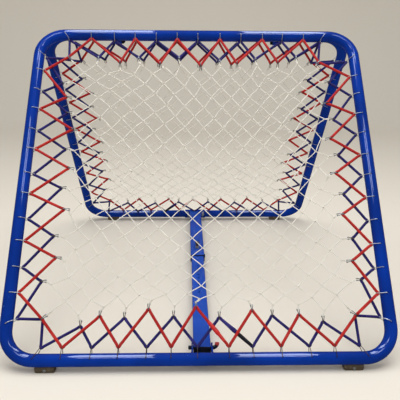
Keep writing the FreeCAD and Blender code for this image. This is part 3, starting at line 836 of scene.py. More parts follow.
@dataclass
class RingTube(RingPiece):
    """One bent tube ring with its drilled holes and the welds of its ears."""

    lacing: "Lacing"
    sides_round: int = 40
    bend_steps: int = 14
    hole: float = 0.0024
    bead: float = 0.0016
    bead_spread: float = 46
    bead_steps: int = 25
    saddle_wall: float = 0.0034

    def tube(self) -> Object:
        """Sweep a circle along four runs and spin it round four bends."""
        straight = PLAN.half - PLAN.bend
        release()
        bpy.ops.mesh.primitive_circle_add(
            vertices=self.sides_round, radius=PLAN.tube, location=(-straight, PLAN.half, 0),
            rotation=(0, math.pi / 2, 0),
        )
        tube = added()
        heading = Vector((2 * straight, 0, 0))
        with shaping(tube, Part.EDGES, everything):
            for x, y in ((1, 1), (1, -1), (-1, -1), (-1, 1)):
                extrude(heading)
                bpy.ops.mesh.spin(
                    steps=self.bend_steps, angle=math.pi / 2,
                    center=(x * straight, y * straight, 0), axis=(0, 0, 1),
                )
                heading.rotate(Matrix.Rotation(-math.pi / 2, 3, "Z"))
        return self.seat("ring_tube", close_up(tube))

    def hole_rims(self) -> Object:
        """Drilled holes for the wire ties: a worn rim round a floor, modelled once; both are dark
        all over as painted shade inside the holes.
        """
        high, lip, floor = 0.00025, self.hole * 0.78, self.hole * 0.7
        rim = turned(((self.hole, 0), (self.hole, high), (lip, high), (floor, 0.0001)), 12)
        places = []
        for quarter, turn in enumerate(QUARTERS):
            bar = PLAN.ring_plane(self.side) @ turn
            for place in self.lacing.hole_places(quarter):
                spot = bar @ Matrix.Translation((place, PLAN.half, 0))
                for facing in (self.lacing.hole_turn, 180 - self.lacing.hole_turn):
                    out = Matrix.Rotation(math.radians(facing), 4, "X")
                    places.append(spot @ out @ Matrix.Translation((0, 0, PLAN.tube - 0.00022)))
        return copies(f"{self.side.value}_tie_holes", rim, places)

    def weld_arcs(self) -> list[tuple[float, float, float]]:
        """Place across, bar and direction in degrees of each weld bead round an ear's root."""
        if self.side is Side.FRONT:
            faces = (-0.0105, -0.0055, 0.0055, 0.0105)
            middle, width = PLAN.strut_x, 0.0218
        else:
            faces = (-0.005, 0.005)
            middle, width = -PLAN.strut_x, 0.0258
        hinges = (-PLAN.hinge_spread, PLAN.hinge_spread)
        arcs = [(hinge + x, PLAN.half, -90.0) for hinge in hinges for x in faces]
        root = math.degrees(PLAN.bracket_angle)
        arcs += [(middle + x, -PLAN.half, root) for x in (-width - 0.004, width + 0.004)]
        return arcs

    def welds(self) -> Object:
        """Rippled weld beads where the ears meet the tube."""
        chance = np.random.default_rng(11)
        routes, swells = [], []
        for x, bar, facing in self.weld_arcs():
            on_tube = abs(x) > PLAN.hinge_spread / 2 or self.side is Side.FRONT
            radius = PLAN.tube + (0.0004 if on_tube else self.saddle_wall)
            start, end = facing - self.bead_spread, facing + self.bead_spread
            ring = arc((bar, 0), radius, start, end, self.bead_steps)
            outward = math.copysign(self.bead / 5, x)
            routes.append([Vector((x + outward, y, z)) for y, z in ring])
            ripples = [0.8 + 0.3 * (step % 2) for step in range(self.bead_steps)]
            swells.append([ripple + chance.uniform(-0.1, 0.1) for ripple in ripples])
        return self.seat("weld_beads", wire("beads", routes, self.bead, 8, swells=swells))

    def build(self, nodes: dict[str, Object]) -> None:
        """Build and dress the ring and dress its CAD ears."""
        self.dress(self.tube(), PAINT, "ring")
        self.dress(self.hole_rims(), HOLE_SHADE)
        self.dress(self.welds(), PAINT)
        for word in ("hinge_ears", "strut_bracket"):
            dress_node(nodes[f"{self.side.value}_{word}"], PAINT)


class Colour(Enum):
    """The two elastics."""

    RED = "red"
    BLUE = "blue"


@dataclass
class Lacing(RingPiece):
    """Both elastics of a ring, with the wires that hold them out and the hooks that pull in."""

    red_radius: float = 0.0038
    blue_radius: float = 0.0037
    bend_trim: float = 0.008
    tie_radius: float = 0.0009
    tie_end: float = 0.004
    snug: float = 0.0001
    end_slip: float = 0.015
    hole_turn: float = 8.0
    hook_radius: float = 0.0010
    hook_length: float = 0.012
    hook_eye: float = 0.0022
    prong_gap: float = 0.0008
    prong_spread: float = 0.0020

    # The front ring's lacing as it hangs in use, in millimetres from the ring's middle: top,
    # right, bottom and left side, each in clockwise order. First the thirteen wire ties along
    # a side, then the place and the reach of its eleven hooks, then the four corner hooks.
    # Last, in metres, the line that each side's ties hold; the bottom one is drawn in most.
    tied = (
        (-397, -328, -257, -193, -128, -63, 1, 70, 135, 202, 264, 330, 384),
        (392, 332, 270, 203, 140, 70, 8, -60, -126, -194, -258, -325, -384),
        (400, 335, 273, 201, 131, 71, -7, -72, -133, -202, -269, -340, -394),
        (-383, -319, -252, -182, -119, -48, 13, 87, 149, 217, 281, 349, 400),
    )
    hung = (
        (
            (-304, 403), (-236, 380), (-181, 402), (-114, 378), (-57, 404), (9, 371),
            (67, 395), (120, 380), (178, 401), (245, 384), (304, 409),
        ),
        (
            (317, 399), (240, 383), (189, 400), (123, 382), (73, 402), (14, 386),
            (-47, 404), (-109, 392), (-176, 414), (-239, 404), (-288, 424),
        ),
        (
            (313, 395), (251, 378), (184, 379), (132, 366), (49, 383), (-10, 357),
            (-67, 380), (-130, 362), (-191, 383), (-252, 379), (-300, 403),
        ),
        (
            (-289, 409), (-228, 376), (-167, 389), (-94, 365), (-29, 380), (28, 363),
            (90, 379), (150, 363), (208, 383), (257, 388), (309, 406),
        ),
    )
    cornered = ((-393, 398), (372, 385), (397, -380), (-396, -385))
    tie_lines = (0.467, 0.461, 0.4545, 0.461)

    def radius(self, colour: Colour) -> float:
        """Radius of an elastic."""
        return self.red_radius if colour is Colour.RED else self.blue_radius

    def level(self, colour: Colour) -> float:
        """Height of an elastic over the net's plane."""
        return PLAN.level_red if colour is Colour.RED else PLAN.level_blue

    def tie_places(self, quarter: int) -> list[float]:
        """Places of one side's wire ties along it, as drawn for the top side."""
        if self.side is Side.FRONT:
            sign = -1 if quarter in (1, 2) else 1
            return [sign * value / 1000 for value in self.tied[quarter]]
        slips = np.random.default_rng(70 + quarter).normal(0, 0.0025, 13).clip(-0.004, 0.004)
        return [index * PLAN.tie_pitch + slip for index, slip in zip(range(-6, 7), slips)]

    def tie_line(self, quarter: int) -> float:
        """Distance of one side's tie bends from the ring's middle."""
        return self.tie_lines[quarter] if self.side is Side.FRONT else PLAN.tie_line

    def hole_places(self, quarter: int) -> list[float]:
        """Places of the ties' holes: the first and last tie lean out to the ring's bends."""
        places = self.tie_places(quarter)
        places[0] -= self.end_slip
        places[-1] += self.end_slip
        return places

    def hook_places(self, quarter: int) -> list[tuple[float, float]]:
        """Place along the side and distance from the ring's middle of each elastic's bend."""
        if self.side is Side.FRONT:
            sign = -1 if quarter in (1, 2) else 1
            return [(sign * value / 1000, reach / 1000) for value, reach in self.hung[quarter]]
        chance = np.random.default_rng(40 + quarter)
        slips = chance.normal(0, 0.006, 11).clip(-0.011, 0.011)
        deep = chance.normal(0, 0.004, 11).clip(-0.007, 0.007)
        reaches = [PLAN.reach_blue, PLAN.reach_red] * 5 + [PLAN.reach_blue]
        return [
            (index * PLAN.hook_pitch + slip, reach + more)
            for index, slip, reach, more in zip(range(-5, 6), slips, reaches, deep)
        ]

    def corner_hook(self, quarter: int) -> Vector:
        """Place of the elastics' bend at the corner where a side starts."""
        if self.side is Side.FRONT:
            return Vector((*(value / 1000 for value in self.cornered[quarter]), 0))
        return QUARTERS[quarter] @ Vector((-PLAN.reach_corner, PLAN.reach_corner, 0))

    def corners(self, colour: Colour) -> list[Vector]:
        """All bends of an elastic, once round the ring, starting at the top left corner."""
        first = 1 if colour is Colour.RED else 0
        bends = []
        for quarter, turn in enumerate(QUARTERS):
            ties = self.tie_places(quarter)
            hooks = self.hook_places(quarter)
            bends.append(self.corner_hook(quarter))
            for index in range(first, 13, 2):
                bends.append(turn @ Vector((ties[index], self.tie_line(quarter), 0)))
                if index < 11:
                    bends.append(turn @ Vector((*hooks[index], 0)))
        for point in bends:
            point.z = self.level(colour)
        return bends

    def elastic(self, colour: Colour) -> Object:
        """Round elastic with a small bend at each tie and hook."""
        route = rounded(self.corners(colour), self.bend_trim, 6)
        cord = wire("cord", [route], self.radius(colour), 12, closed=True)
        return self.seat(f"{colour.value}_cord", cord)

    def tie_route(self, tie: Vector, hole: float, colour: Colour) -> list[Vector]:
        """Wire from a hole in the tube's front face, round an elastic, to the back face.

        Args:
            tie: The elastic's bend at this tie, on the top side.
            hole: Place of the tie's hole along the side.
            colour: The elastic.

        Returns:
            Points of the wire.
        """
        over = PLAN.tube + self.tie_radius + self.snug
        around = self.radius(colour) + self.tie_radius + self.snug
        depth = PLAN.half - tie.y
        apart = math.hypot(depth, tie.z)
        toward = math.degrees(math.atan2(tie.z, depth))
        swing = math.degrees(math.asin((over - around) / apart))
        facing = 90 - self.hole_turn
        out, up = math.cos(math.radians(facing)), math.sin(math.radians(facing))
        ends = (PLAN.tube - self.tie_end, PLAN.tube)
        flat = [(reach * out, reach * up) for reach in ends]
        flat += arc((0, 0), over, facing - 2, toward + 90 - swing, 5)
        flat += arc((depth, tie.z), around, toward + 90 - swing, toward - 90 + swing, 9)
        flat += arc((0, 0), over, toward - 90 + swing, 2 - facing, 5)
        flat += [(reach * out, -reach * up) for reach in reversed(ends)]
        return [
            Vector((hole + (tie.x - hole) * min(inward / depth, 1), PLAN.half - inward, level))
            for inward, level in flat
        ]

    def ties(self, word: str, quarters: Sequence[int]) -> Object:
        """Iron wires that tie both elastics to these sides of the tube."""
        routes = []
        for quarter in quarters:
            turn = QUARTERS[quarter]
            holes = self.hole_places(quarter)
            for index, place in enumerate(self.tie_places(quarter)):
                colour = Colour.RED if index % 2 else Colour.BLUE
                tie = Vector((place, self.tie_line(quarter), self.level(colour)))
                route = self.tie_route(tie, holes[index], colour)
                routes.append([turn @ point for point in route])
        return self.seat(word, wire("ties", routes, self.tie_radius, 6))

    def hook_routes(self, bend: Vector, colour: Colour | None) -> list[list[Vector]]:
        """Two prongs of a wire hook, from round an elastic to round the net's end.

        Args:
            bend: The elastic's bend.
            colour: The elastic, or nothing where the hook holds both.

        Returns:
            Points of each prong.
        """
        inward = Vector((-bend.x, -bend.y, 0)).normalized()
        if colour is not None:
            inward = Vector((0, -1, 0)) if abs(bend.y) > abs(bend.x) else Vector((-1, 0, 0))
            inward *= math.copysign(1, bend.y if inward.y else bend.x)
        across = Vector((-inward.y, inward.x, 0))
        thick = self.red_radius if colour is None else self.radius(colour)
        wide = thick + self.hook_radius
        high = wide + (PLAN.level_red if colour is None else 0)
        level = 0 if colour is None else self.level(colour)
        flat = [(wide * -x, level + high * z) for x, z in arc((0, 0), 1, -115, 100, 8)]
        flat += [(self.hook_length - x, z) for x, z in arc((0, 0), self.hook_eye, 80, 285, 7)]
        routes = []
        for hand in (1, -1):
            route = []
            for out, up in flat:
                share = min(max(out / self.hook_length, 0), 1)
                apart = hand * (self.prong_gap + self.prong_spread * share)
                route.append(Vector((bend.x, bend.y, up)) + inward * out + across * apart)
            routes.append(route)
        return routes

    def hooks(self) -> Object:
        """Steel wire hooks between the elastics and the net."""
        routes = []
        for quarter, turn in enumerate(QUARTERS):
            for index, place in enumerate(self.hook_places(quarter)):
                colour = Colour.RED if index % 2 else Colour.BLUE
                routes += self.hook_routes(turn @ Vector((*place, 0)), colour)
            routes += self.hook_routes(self.corner_hook(quarter), None)
        return self.seat("wire_hooks", wire("hooks", routes, self.hook_radius, 6))

    def splice(
        self, word: str, colour: Colour, run: tuple[Vector, Vector], profile: Profile
    ) -> Object:
        """Cover of an elastic's joint.

        Args:
            word: What the cover is.
            colour: The elastic.
            run: The run's hook and tie.
            profile: Share of the run and thickness over the elastic, in metres, at each step.

        Returns:
            The new piece.
        """
        level = Vector((0, 0, self.level(colour)))
        radius = self.radius(colour)
        steps, thicknesses = zip(*profile)
        shares = np.linspace(steps[0], steps[-1], 40)
        route = [run[0].lerp(run[1], share) + level for share in shares]
        extra = np.interp(shares, steps, thicknesses)
        swell = [(radius + thick) / radius for thick in extra]
        cover = wire("splice", [route], radius, 16, swells=[swell])
        return self.seat(f"{colour.value}_{word}", cover)

    def splices(self) -> None:
        """Red sleeve, and beside it the blue elastic's lapped ends with tape round them."""
        hooks = [QUARTERS[2] @ Vector((*place, 0)) for place in self.hook_places(2)]
        ties = [Vector((-place, -self.tie_line(2), 0)) for place in self.tie_places(2)]
        red_run, blue_run = (hooks[5], ties[5]), (hooks[4], ties[4])
        sleeve = (
            (0.38, 0.0002), (0.42, 0.0009), (0.52, 0.0015), (0.64, 0.0019), (0.68, 0.0016),
            (0.70, 0.0006), (0.86, 0.0002),
        )
        lap = (
            (0.04, 0.0001), (0.20, 0.0006), (0.34, 0.0014), (0.44, 0.0022), (0.50, 0.0016),
            (0.53, 0.0006),
        )
        tape = ((0.48, 0.0010), (0.52, 0.0015), (0.70, 0.0012), (0.88, 0.0008), (0.97, 0.0003))
        self.dress(self.splice("sleeve", Colour.RED, red_run, sleeve), SLEEVE, "red_splice")
        self.dress(self.splice("lap", Colour.BLUE, blue_run, lap), NAVY_COVER)
        self.dress(self.splice("tape", Colour.BLUE, blue_run, tape), TAPE, "blue_splice")

    def build(self) -> None:
        """Build and dress the elastics, wires, hooks and joints."""
        for colour, cover in ((Colour.RED, RED_COVER), (Colour.BLUE, NAVY_COVER)):
            self.dress(self.elastic(colour), cover, f"{colour.value}_elastic")
        self.dress(self.ties("tie_wires", (0, 1, 3)), GALVANISED, "wire_ties")
        # The wires of the bottom bar get a darker, browner copy of the galvanised wire:
        # painted shade, as they face down, away from the light
        self.dress(self.ties("low_tie_wires", (2,)), SHADED_LOW_WIRE)
        self.dress(self.hooks(), HOOK, "net_hooks")
        self.splices()


@dataclass
class Net(RingPiece):
    """Knotted net hung on its corners, slack enough to sag a little under its own weight."""

    lacing: Lacing
    steps: int = 12
    reach: float = 0.355
    low_reach: float = 0.343
    waist: float = 0.026
    drift: float = 0.012
    sag: float = 0.031
    dip: float = 0.007
    twine: float = 0.00125
    knot: float = 0.0019
    lead: float = 0.014
    uneven: float = 0.035
    bow: float = 0.0011

    def border(self) -> Knots:
        """The hook that each border knot hangs on."""
        grip = self.lacing.hook_length
        pulls = {}
        for quarter, turn in enumerate(QUARTERS):
            for index, (place, reach) in enumerate(self.lacing.hook_places(quarter)):
                knot = turn @ Vector((2 * (index - 5), self.steps, 0))
                pulls[(round(knot.x), round(knot.y))] = turn @ Vector((place, reach - grip, 0))
            corner = self.lacing.corner_hook(quarter)
            knot = turn @ Vector((-self.steps, self.steps, 0))
            pulls[(round(knot.x), round(knot.y))] = corner - corner.normalized() * grip
        return pulls

    def hang(self, column: int, row: int) -> tuple[float, float, float]:
        """Place that a knot of an even net would take: its middle hangs down and back."""
        along, up = column / self.steps, row / self.steps
        slack = (1 - along**2) * (1 - up**2)
        narrow = self.waist * along * (1 - along**2) * (1 - up**4)
        height = self.reach if up > 0 else self.low_reach
        return (
            along * self.reach - narrow + self.drift * slack,
            up * height - self.sag * slack,
            -self.dip * slack,
        )

    def knots(self) -> Knots:
        """Let an uneven net find its rest between the hooks.

        Returns:
            The place of each knot, by its column and row.
        """
        pulls = self.border()
        reach = range(-self.steps, self.steps + 1)
        keys = [(c, r) for c in reach for r in reach if (c + r) % 2 == 0]
        number = {key: index for index, key in enumerate(keys)}
        places = np.array([self.hang(*key) for key in keys])
        pairs = []
        for (c, r), index in number.items():
            for step in (1, -1):
                other = number.get((c + step, r + 1))
                if other is not None:
                    pairs.append((index, other))
        first, second = np.array(pairs).T
        chance = np.random.default_rng(5 if self.side is Side.FRONT else 8)
        rest = np.linalg.norm(places[second] - places[first], axis=1)
        rest *= 1 + chance.uniform(-self.uneven, self.uneven, len(rest))
        held = np.array([number[key] for key in pulls])
        anchors = np.array([tuple(point) for point in pulls.values()])
        level = places[:, 2].copy()
        speed = np.zeros_like(places)
        for _ in range(900):
            gap = places[second] - places[first]
            length = np.linalg.norm(gap, axis=1)
            pull = ((length - rest) / length)[:, None] * gap
            force = np.zeros_like(places)
            np.add.at(force, first, pull)
            np.add.at(force, second, -pull)
            gap = anchors - places[held]
            length = np.linalg.norm(gap, axis=1)
            force[held] += (4 * (length - self.lead) / length)[:, None] * gap
            speed = 0.88 * speed + 0.12 * force
            places += speed
            places[:, 2] = level
        return {key: Vector(places[index]) for key, index in number.items()}

    def strands(self, knots: Knots) -> Object:
        """Twine from border to border through all the knots of each slanting line."""
        chance = np.random.default_rng(21)
        lines: dict[tuple[int, int], list[tuple[int, int]]] = {}
        for key in sorted(knots):
            lines.setdefault((1, key[0] - key[1]), []).append(key)
            lines.setdefault((-1, key[0] + key[1]), []).append(key)
        routes = []
        for line in lines.values():
            if len(line) < 2:
                continue
            route = []
            for start, end in zip(line, line[1:]):
                a, b = knots[start], knots[end]
                across = Vector((a.y - b.y, b.x - a.x, 0)).normalized()
                bow = across * chance.uniform(-self.bow, self.bow)
                bow.z = chance.uniform(-0.0006, 0.0006)
                route += [a, a.lerp(b, 0.33) + bow, a.lerp(b, 0.67) + bow]
            route.append(knots[line[-1]])
            routes.append(route)
        return self.seat("net_twine", wire("twine", routes, self.twine, 6))

    def loops(self, knots: Knots) -> Object:
        """Doubled ends of the net round the hooks."""
        routes = []
        for key, hook in self.border().items():
            knot = knots[key]
            out = (hook - knot).normalized()
            across = Vector((-out.y, out.x, 0)) * (self.twine * 1.05)
            near = knot + out * 0.002
            tip = hook + out * 0.0014
            routes.append([
                knot + across * 0.4, near + across, hook + across * 0.9, tip + across * 0.35,
                tip - across * 0.35, hook - across * 0.9, near - across, knot - across * 0.4,
            ])
        return self.seat("net_ends", wire("ends", routes, self.twine, 6))

    def knot_pattern(self) -> Object:
        """One knot: two short turns of twine crossing each other."""
        turns = []
        for angle in (0.7, -0.8):
            release()
            bpy.ops.mesh.primitive_torus_add(
                major_segments=8, minor_segments=4, major_radius=self.knot,
                minor_radius=self.twine * 1.15, rotation=(math.pi / 2, angle, 0),
            )
            turns.append(added())
        knot = join("knot", turns)
        with shaping(knot, Part.FACES, everything):
            bpy.ops.transform.resize(value=(1.05, 0.9, 1.2), center_override=(0, 0, 0))
        return smooth(knot, 80)

    def knot_row(self, knots: Knots) -> Object:
        """All knots, each turned and sized a little differently."""
        chance = np.random.default_rng(33)
        plane = PLAN.ring_plane(self.side)
        places = []
        for key in sorted(knots):
            turn = Matrix.Rotation(chance.uniform(-0.6, 0.6), 4, "Z")
            size = Matrix.Scale(chance.uniform(0.88, 1.12), 4)
            places.append(plane @ Matrix.Translation(knots[key]) @ turn @ size)
        return copies(f"{self.side.value}_net_knots", self.knot_pattern(), places)

    def build(self) -> None:
        """Build and dress the net."""
        knots = self.knots()
        self.dress(self.strands(knots), TWINE, "net")
        self.dress(self.loops(knots), TWINE)
        self.dress(self.knot_row(knots), KNOT)


@dataclass
class Foot(RingPiece):
    """Rubber feet under a bottom bar, each held by a screw."""

    length: float = 0.050
    width: float = 0.026
    height: float = 0.017
    span: float = 0.380
    hollow: float = 0.01615
    edge: float = 0.0045
    groove: tuple[float, float, float] = (0.0025, 0.04, 0.003)
    screw_height: float = 0.0065

    def pad(self, hand: int) -> Object:
        """Rounded block with a hollow for the tube and grooves in its sole."""
        across = hand * self.span
        bar = PLAN.ring_plane(self.side) @ Vector((0, -PLAN.half, 0))
        middle = (across, bar.y, self.height / 2)
        pad = block((self.length, self.width, self.height), middle, self.edge)
        along = Matrix.Translation((across, bar.y, PLAN.bar_height)) @ ALONG_X
        tools = [turned(((self.hollow, -0.06), (self.hollow, 0.06)), 48, along)]
        for offset in (-0.015, -0.005, 0.005, 0.015):
            tools.append(block(self.groove, (across + offset, bar.y, 0.0), 0.0006, 1))
        return bore(pad, tools)

    def screw(self, hand: int) -> Object:
        """Pan-head screw in the foot's outer face, with a slot."""
        bar = PLAN.ring_plane(self.side) @ Vector((0, -PLAN.half, 0))
        out = -1 if self.side is Side.FRONT else 1
        face = bar.y + out * (self.width / 2 - 0.0006)
        place = Matrix.Translation((hand * self.span, face, self.screw_height))
        place = place @ Matrix.Rotation(math.pi / 2 * -out, 4, "X") @ Matrix.Rotation(0.5, 4, "Z")
        head = turned(((0.0036, 0), (0.0036, 0.0009), (0.0030, 0.0017), (0.0016, 0.0021)), 20)
        slot = block((0.0009, 0.009, 0.0012), (0, 0, 0.0021), 0.0001, 1)
        return settle(bore(head, [slot]), place)

    def build(self) -> None:
        """Build and dress both feet of a bar."""
        for hand, word in ((-1, "left"), (1, "right")):
            name = f"{self.side.value}_{word}"
            self.dress(join(f"{name}_rubber", [self.pad(hand)]), RUBBER, f"{word}_foot")
            self.dress(join(f"{name}_foot_screw", [self.screw(hand)]), ZINC)


@dataclass(frozen=True)
class Bolts:
    """Hexagon bolts with nuts, along X."""

    shank: float = 0.005
    corner: float = 0.0098
    head: float = 0.0064
    nut: float = 0.008
    proud: float = 0.003
    thread: float = 0.001

    def bolt(self, start: Vector, grip: float) -> Object:
        """Bolt whose head bears at a point, with a chamfered head and a threaded end.

        Args:
            start: Where the head's underside bears.
            grip: Thickness that it holds.

        Returns:
            The new piece.
        """
        along = Matrix.Translation(start) @ ALONG_X
        top = (self.corner * 0.88, -self.head)
        head = turned((top, (self.corner, -self.head + 0.0012), (self.corner, 0)), 6, along)
        end = grip + self.nut + self.proud
        height = grip - 2 * self.thread
        steps = [(self.shank, -self.thread), (self.shank, height)]
        while height < end - 0.0016:
            steps += [
                (self.shank * 0.9, height + self.thread / 2), (self.shank, height + self.thread)
            ]
            height += self.thread
        steps += [(self.shank * 0.82, end)]
        return join("bolt", [head, turned(steps, 24, along)])

    def nut_at(self, start: Vector) -> Object:
        """Lock nut that bears at a point, with a round collar on its outer end."""
        steps = (
            (self.corner * 0.9, 0), (self.corner, 0.0009), (self.corner, 0.0056),
            (self.corner * 0.86, 0.0064), (self.corner * 0.80, self.nut - 0.0004),
            (self.corner * 0.72, self.nut),
        )
        return turned(steps, 6, Matrix.Translation(start) @ ALONG_X)


@dataclass
class Hinges:
    """Bolts and nuts of the two hinges between the top bars."""

    reach: float = 0.0105
    height: float = 0.790073

    def build(self) -> None:
        """Build and dress the hinge bolts and nuts."""
        kit = Bolts()
        bolts, nuts = [], []
        for x in (-PLAN.hinge_spread, PLAN.hinge_spread):
            bolts.append(kit.bolt(Vector((x - self.reach, 0, self.height)), 2 * self.reach))
            nuts.append(kit.nut_at(Vector((x + self.reach, 0, self.height))))
        for word, pieces in (("bolt", bolts), ("nut", nuts)):
            pair = join(f"hinge_{word}_pair", pieces)
            dress(pair, BLACK_ZINC, "front_frame", f"hinge_{word}s")


@dataclass
class Strut:
    """Telescopic floor strut: a perforated inner tube that a spring plunger locks in a sleeve."""

    bar_width: float = 0.044
    bar_height: float = 0.019
    bar_wall: float = 0.002
    bar_start: float = -0.012
    bar_end: float = 0.708
    sleeve_width: float = 0.050
    sleeve_height: float = 0.025
    sleeve_wall: float = 0.0025
    mouth: float = 0.588
    tail: float = 1.125888
    lock_first: float = 0.294
    lock_pitch: float = 0.026
    lock_count: int = 15
    lock_reach: float = 0.658
    lock_hole: float = 0.004
    pivot_hole: float = 0.00505
    slot: tuple[float, float, float] = (0.1, 0.0204, 0.0104)
    rim: float = 0.0008
    boss_height: float = 0.009
    knob_lift: float = 0.007
    pin: float = 0.0037
    side_bolt_reach: float = 0.022
    saddle_turn: float = 0.35
    saddle_wall: float = 0.0029

    def seat(self, name: str, piece: Object) -> Object:
        """Name a piece and put its drawing, which starts at the front pivot, in its place."""
        return settle(join(name, [piece]), PLAN.strut_place())

    def bar(self) -> Object:
        """Inner tube with its slot and its row of holes."""
        tube = square_tube(
            self.bar_width, self.bar_height, self.bar_wall, self.bar_start, self.bar_end, 0.0028
        )
        tools = []
        for index in range(self.lock_count):
            spot = Vector((0, self.lock_first + index * self.lock_pitch, self.bar_height / 2))
            tools.append(drill(self.lock_hole, 2 * self.lock_hole, spot))
        slot = block(self.slot, (0, 0, 0), 0.00515, 6)
        bore(tube, tools)
        bore(tube, [slot])
        return self.seat("perforated_inner_tube", tube)

    def sleeve(self) -> Object:
        """Outer tube with its pivot hole and the plunger's hole."""
        tube = square_tube(
            self.sleeve_width, self.sleeve_height, self.sleeve_wall, self.mouth, self.tail, 0.0034
        )
        lock = Vector((0, self.lock_reach, self.sleeve_height / 2))
        tools = [
            drill(self.pivot_hole, 0.07, Vector((0, PLAN.strut_length, 0)), ALONG_X),
            drill(self.lock_hole, 2 * self.lock_hole, lock),
        ]
        return self.seat("outer_sleeve_tube", bore(tube, tools))

    def collar(self) -> Object:
        """Plastic bushing at the sleeve's mouth."""
        width, height = self.sleeve_width + 0.0016, self.sleeve_height + 0.0016
        tube = square_tube(width, height, 0.0035, self.mouth - 0.003, self.mouth, 0.004)
        with shaping(tube, Part.EDGES, lambda middle, way: abs(way.y) < 0.1):
            bpy.ops.mesh.bevel(offset=0.0007, segments=2, affect="EDGES")
        return self.seat("mouth_bushing", close_up(tube))

    def cap(self, name: str, width: float, height: float, face: float, out: int) -> Object:
        """Plastic plug pushed into a tube's end, with a low dome.

        Args:
            name: Name of the piece.
            width: Width of its rim.
            height: Height of its rim.
            face: Where the tube ends.
            out: Which way is out along Y.

        Returns:
            The new piece.
        """
        middle = (0, face + out * self.rim / 2, 0)
        rim = block((width, self.rim, height), middle, self.rim * 0.45, 2)
        with shaping(rim, Part.FACES, lambda middle, way: way.y * out > 0.9):
            bpy.ops.mesh.inset(thickness=0.003)
            extrude((0, out * 0.0002, 0))
            bpy.ops.transform.resize(value=(0.9, 1, 0.85), center_override=(0, face, 0))
        inside = (width - 0.0056, 0.0024, height - 0.0056)
        plug = block(inside, (0, face - out * 0.0009, 0), 0.0005, 2)
        return self.seat(name, close_up(join(name, [rim, plug])))

    def boss(self) -> Object:
        """Welded boss round the plunger: a turned body with a hexagon foot."""
        top = self.sleeve_height / 2
        spot = Matrix.Translation((0, self.lock_reach, top))
        foot = turned(((0.008, 0), (0.008, 0.0028), (0.0074, 0.0033)), 6, spot)
        steps = (
            (0.0069, 0), (0.0069, 0.0076), (0.0063, 0.0086), (0.0050, self.boss_height),
            (self.lock_hole, self.boss_height), (self.lock_hole, 0.0064),
        )
        return self.seat("plunger_boss", join("boss", [foot, turned(steps, 32, spot)]))

    def plunger(self) -> Object:
        """Plunger pin with a ribbed pull knob."""
        low = self.bar_height / 2 + 0.0003
        high = self.sleeve_height / 2 + self.boss_height + self.knob_lift
        spot = Matrix.Translation((0, self.lock_reach, 0))
        pin = turned(((0.0030, low), (self.pin, low + 0.0008), (self.pin, high + 0.001)), 24, spot)
        steps = [(0.0058, high), (0.0066, high + 0.0006)]
        for rib in range(4):
            start = high + 0.0010 + rib * 0.0014
            steps += [(0.0075, start + 0.0002), (0.0075, start + 0.0008), (0.0070, start + 0.0011)]
        steps += [(0.0074, high + 0.0074), (0.0070, high + 0.0084), (0.0052, high + 0.009)]
        return self.seat("pull_knob", join("knob", [pin, turned(steps, 28, spot)]))

    def side_bolt(self) -> Object:
        """Small bolt head on the sleeve's right side near its mouth."""
        spot = (self.sleeve_width / 2 - 0.0002, self.mouth + self.side_bolt_reach, 0)
        place = Matrix.Translation(spot) @ ALONG_X
        head = turned(((0.0062, 0), (0.0062, 0.0028), (0.0052, 0.0036)), 6, place)
        washer = turned(((0.0078, 0), (0.0078, 0.0008), (0.0072, 0.0011)), 28, place)
        return self.seat("sleeve_side_bolt", join("side_bolt", [head, washer]))

    def saddle_bolts(self) -> Object:
        """Two bolt heads that hold the back bracket's saddle to its bar."""
        plane = PLAN.ring_plane(Side.BACK)
        facing = PLAN.bracket_angle + self.saddle_turn
        radius = PLAN.tube + self.saddle_wall
        heads = []
        for x in (-0.0415, 0.0315):
            spot = Vector((x, radius * math.cos(facing) - PLAN.half, radius * math.sin(facing)))
            turn = Matrix.Rotation(facing - math.pi / 2, 4, "X")
            place = plane @ Matrix.Translation(spot) @ turn
            heads.append(turned(((0.0056, 0), (0.0056, 0.0030), (0.0047, 0.0038)), 6, place))
        return join("saddle_bolt_heads", heads)

    def build(self) -> None:
        """Build and dress the strut with its bracket bolts."""
        dress(self.bar(), LIT_STRUT_PAINT, "strut_bar", "strut_bar")
        dress(self.sleeve(), LIT_STRUT_PAINT, "strut_sleeve", "strut_sleeve")
        dress(self.collar(), PLASTIC, "strut_sleeve", "sleeve_collar")
        cap = self.cap("inner_tube_plug", self.bar_width, self.bar_height, self.bar_start, -1)
        dress(cap, PLASTIC, "strut_bar", "bar_cap")
        cap = self.cap("outer_tube_plug", self.sleeve_width, self.sleeve_height, self.tail, 1)
        dress(cap, PLASTIC, "strut_sleeve", "sleeve_cap")
        dress(self.boss(), ZINC, "strut_sleeve", "lock_boss")
        dress(self.plunger(), BRASS, "lock_plunger", "lock_plunger")
        dress(self.side_bolt(), BLACK_ZINC, "strut_sleeve")
        dress(self.saddle_bolts(), ZINC, "back_frame")
        kit = Bolts()
        reach = self.sleeve_width / 2 + 0.0048
        start = Vector((-reach, PLAN.strut_length, 0))
        bolt = self.seat("back_pivot_hex_bolt", kit.bolt(start, 2 * reach))
        dress(bolt, ZINC, "back_frame", "back_pivot_bolt")
        nut = self.seat("back_pivot_lock_nut", kit.nut_at(start + Vector((2 * reach, 0, 0))))
        dress(nut, ZINC, "back_frame", "back_pivot_nut")


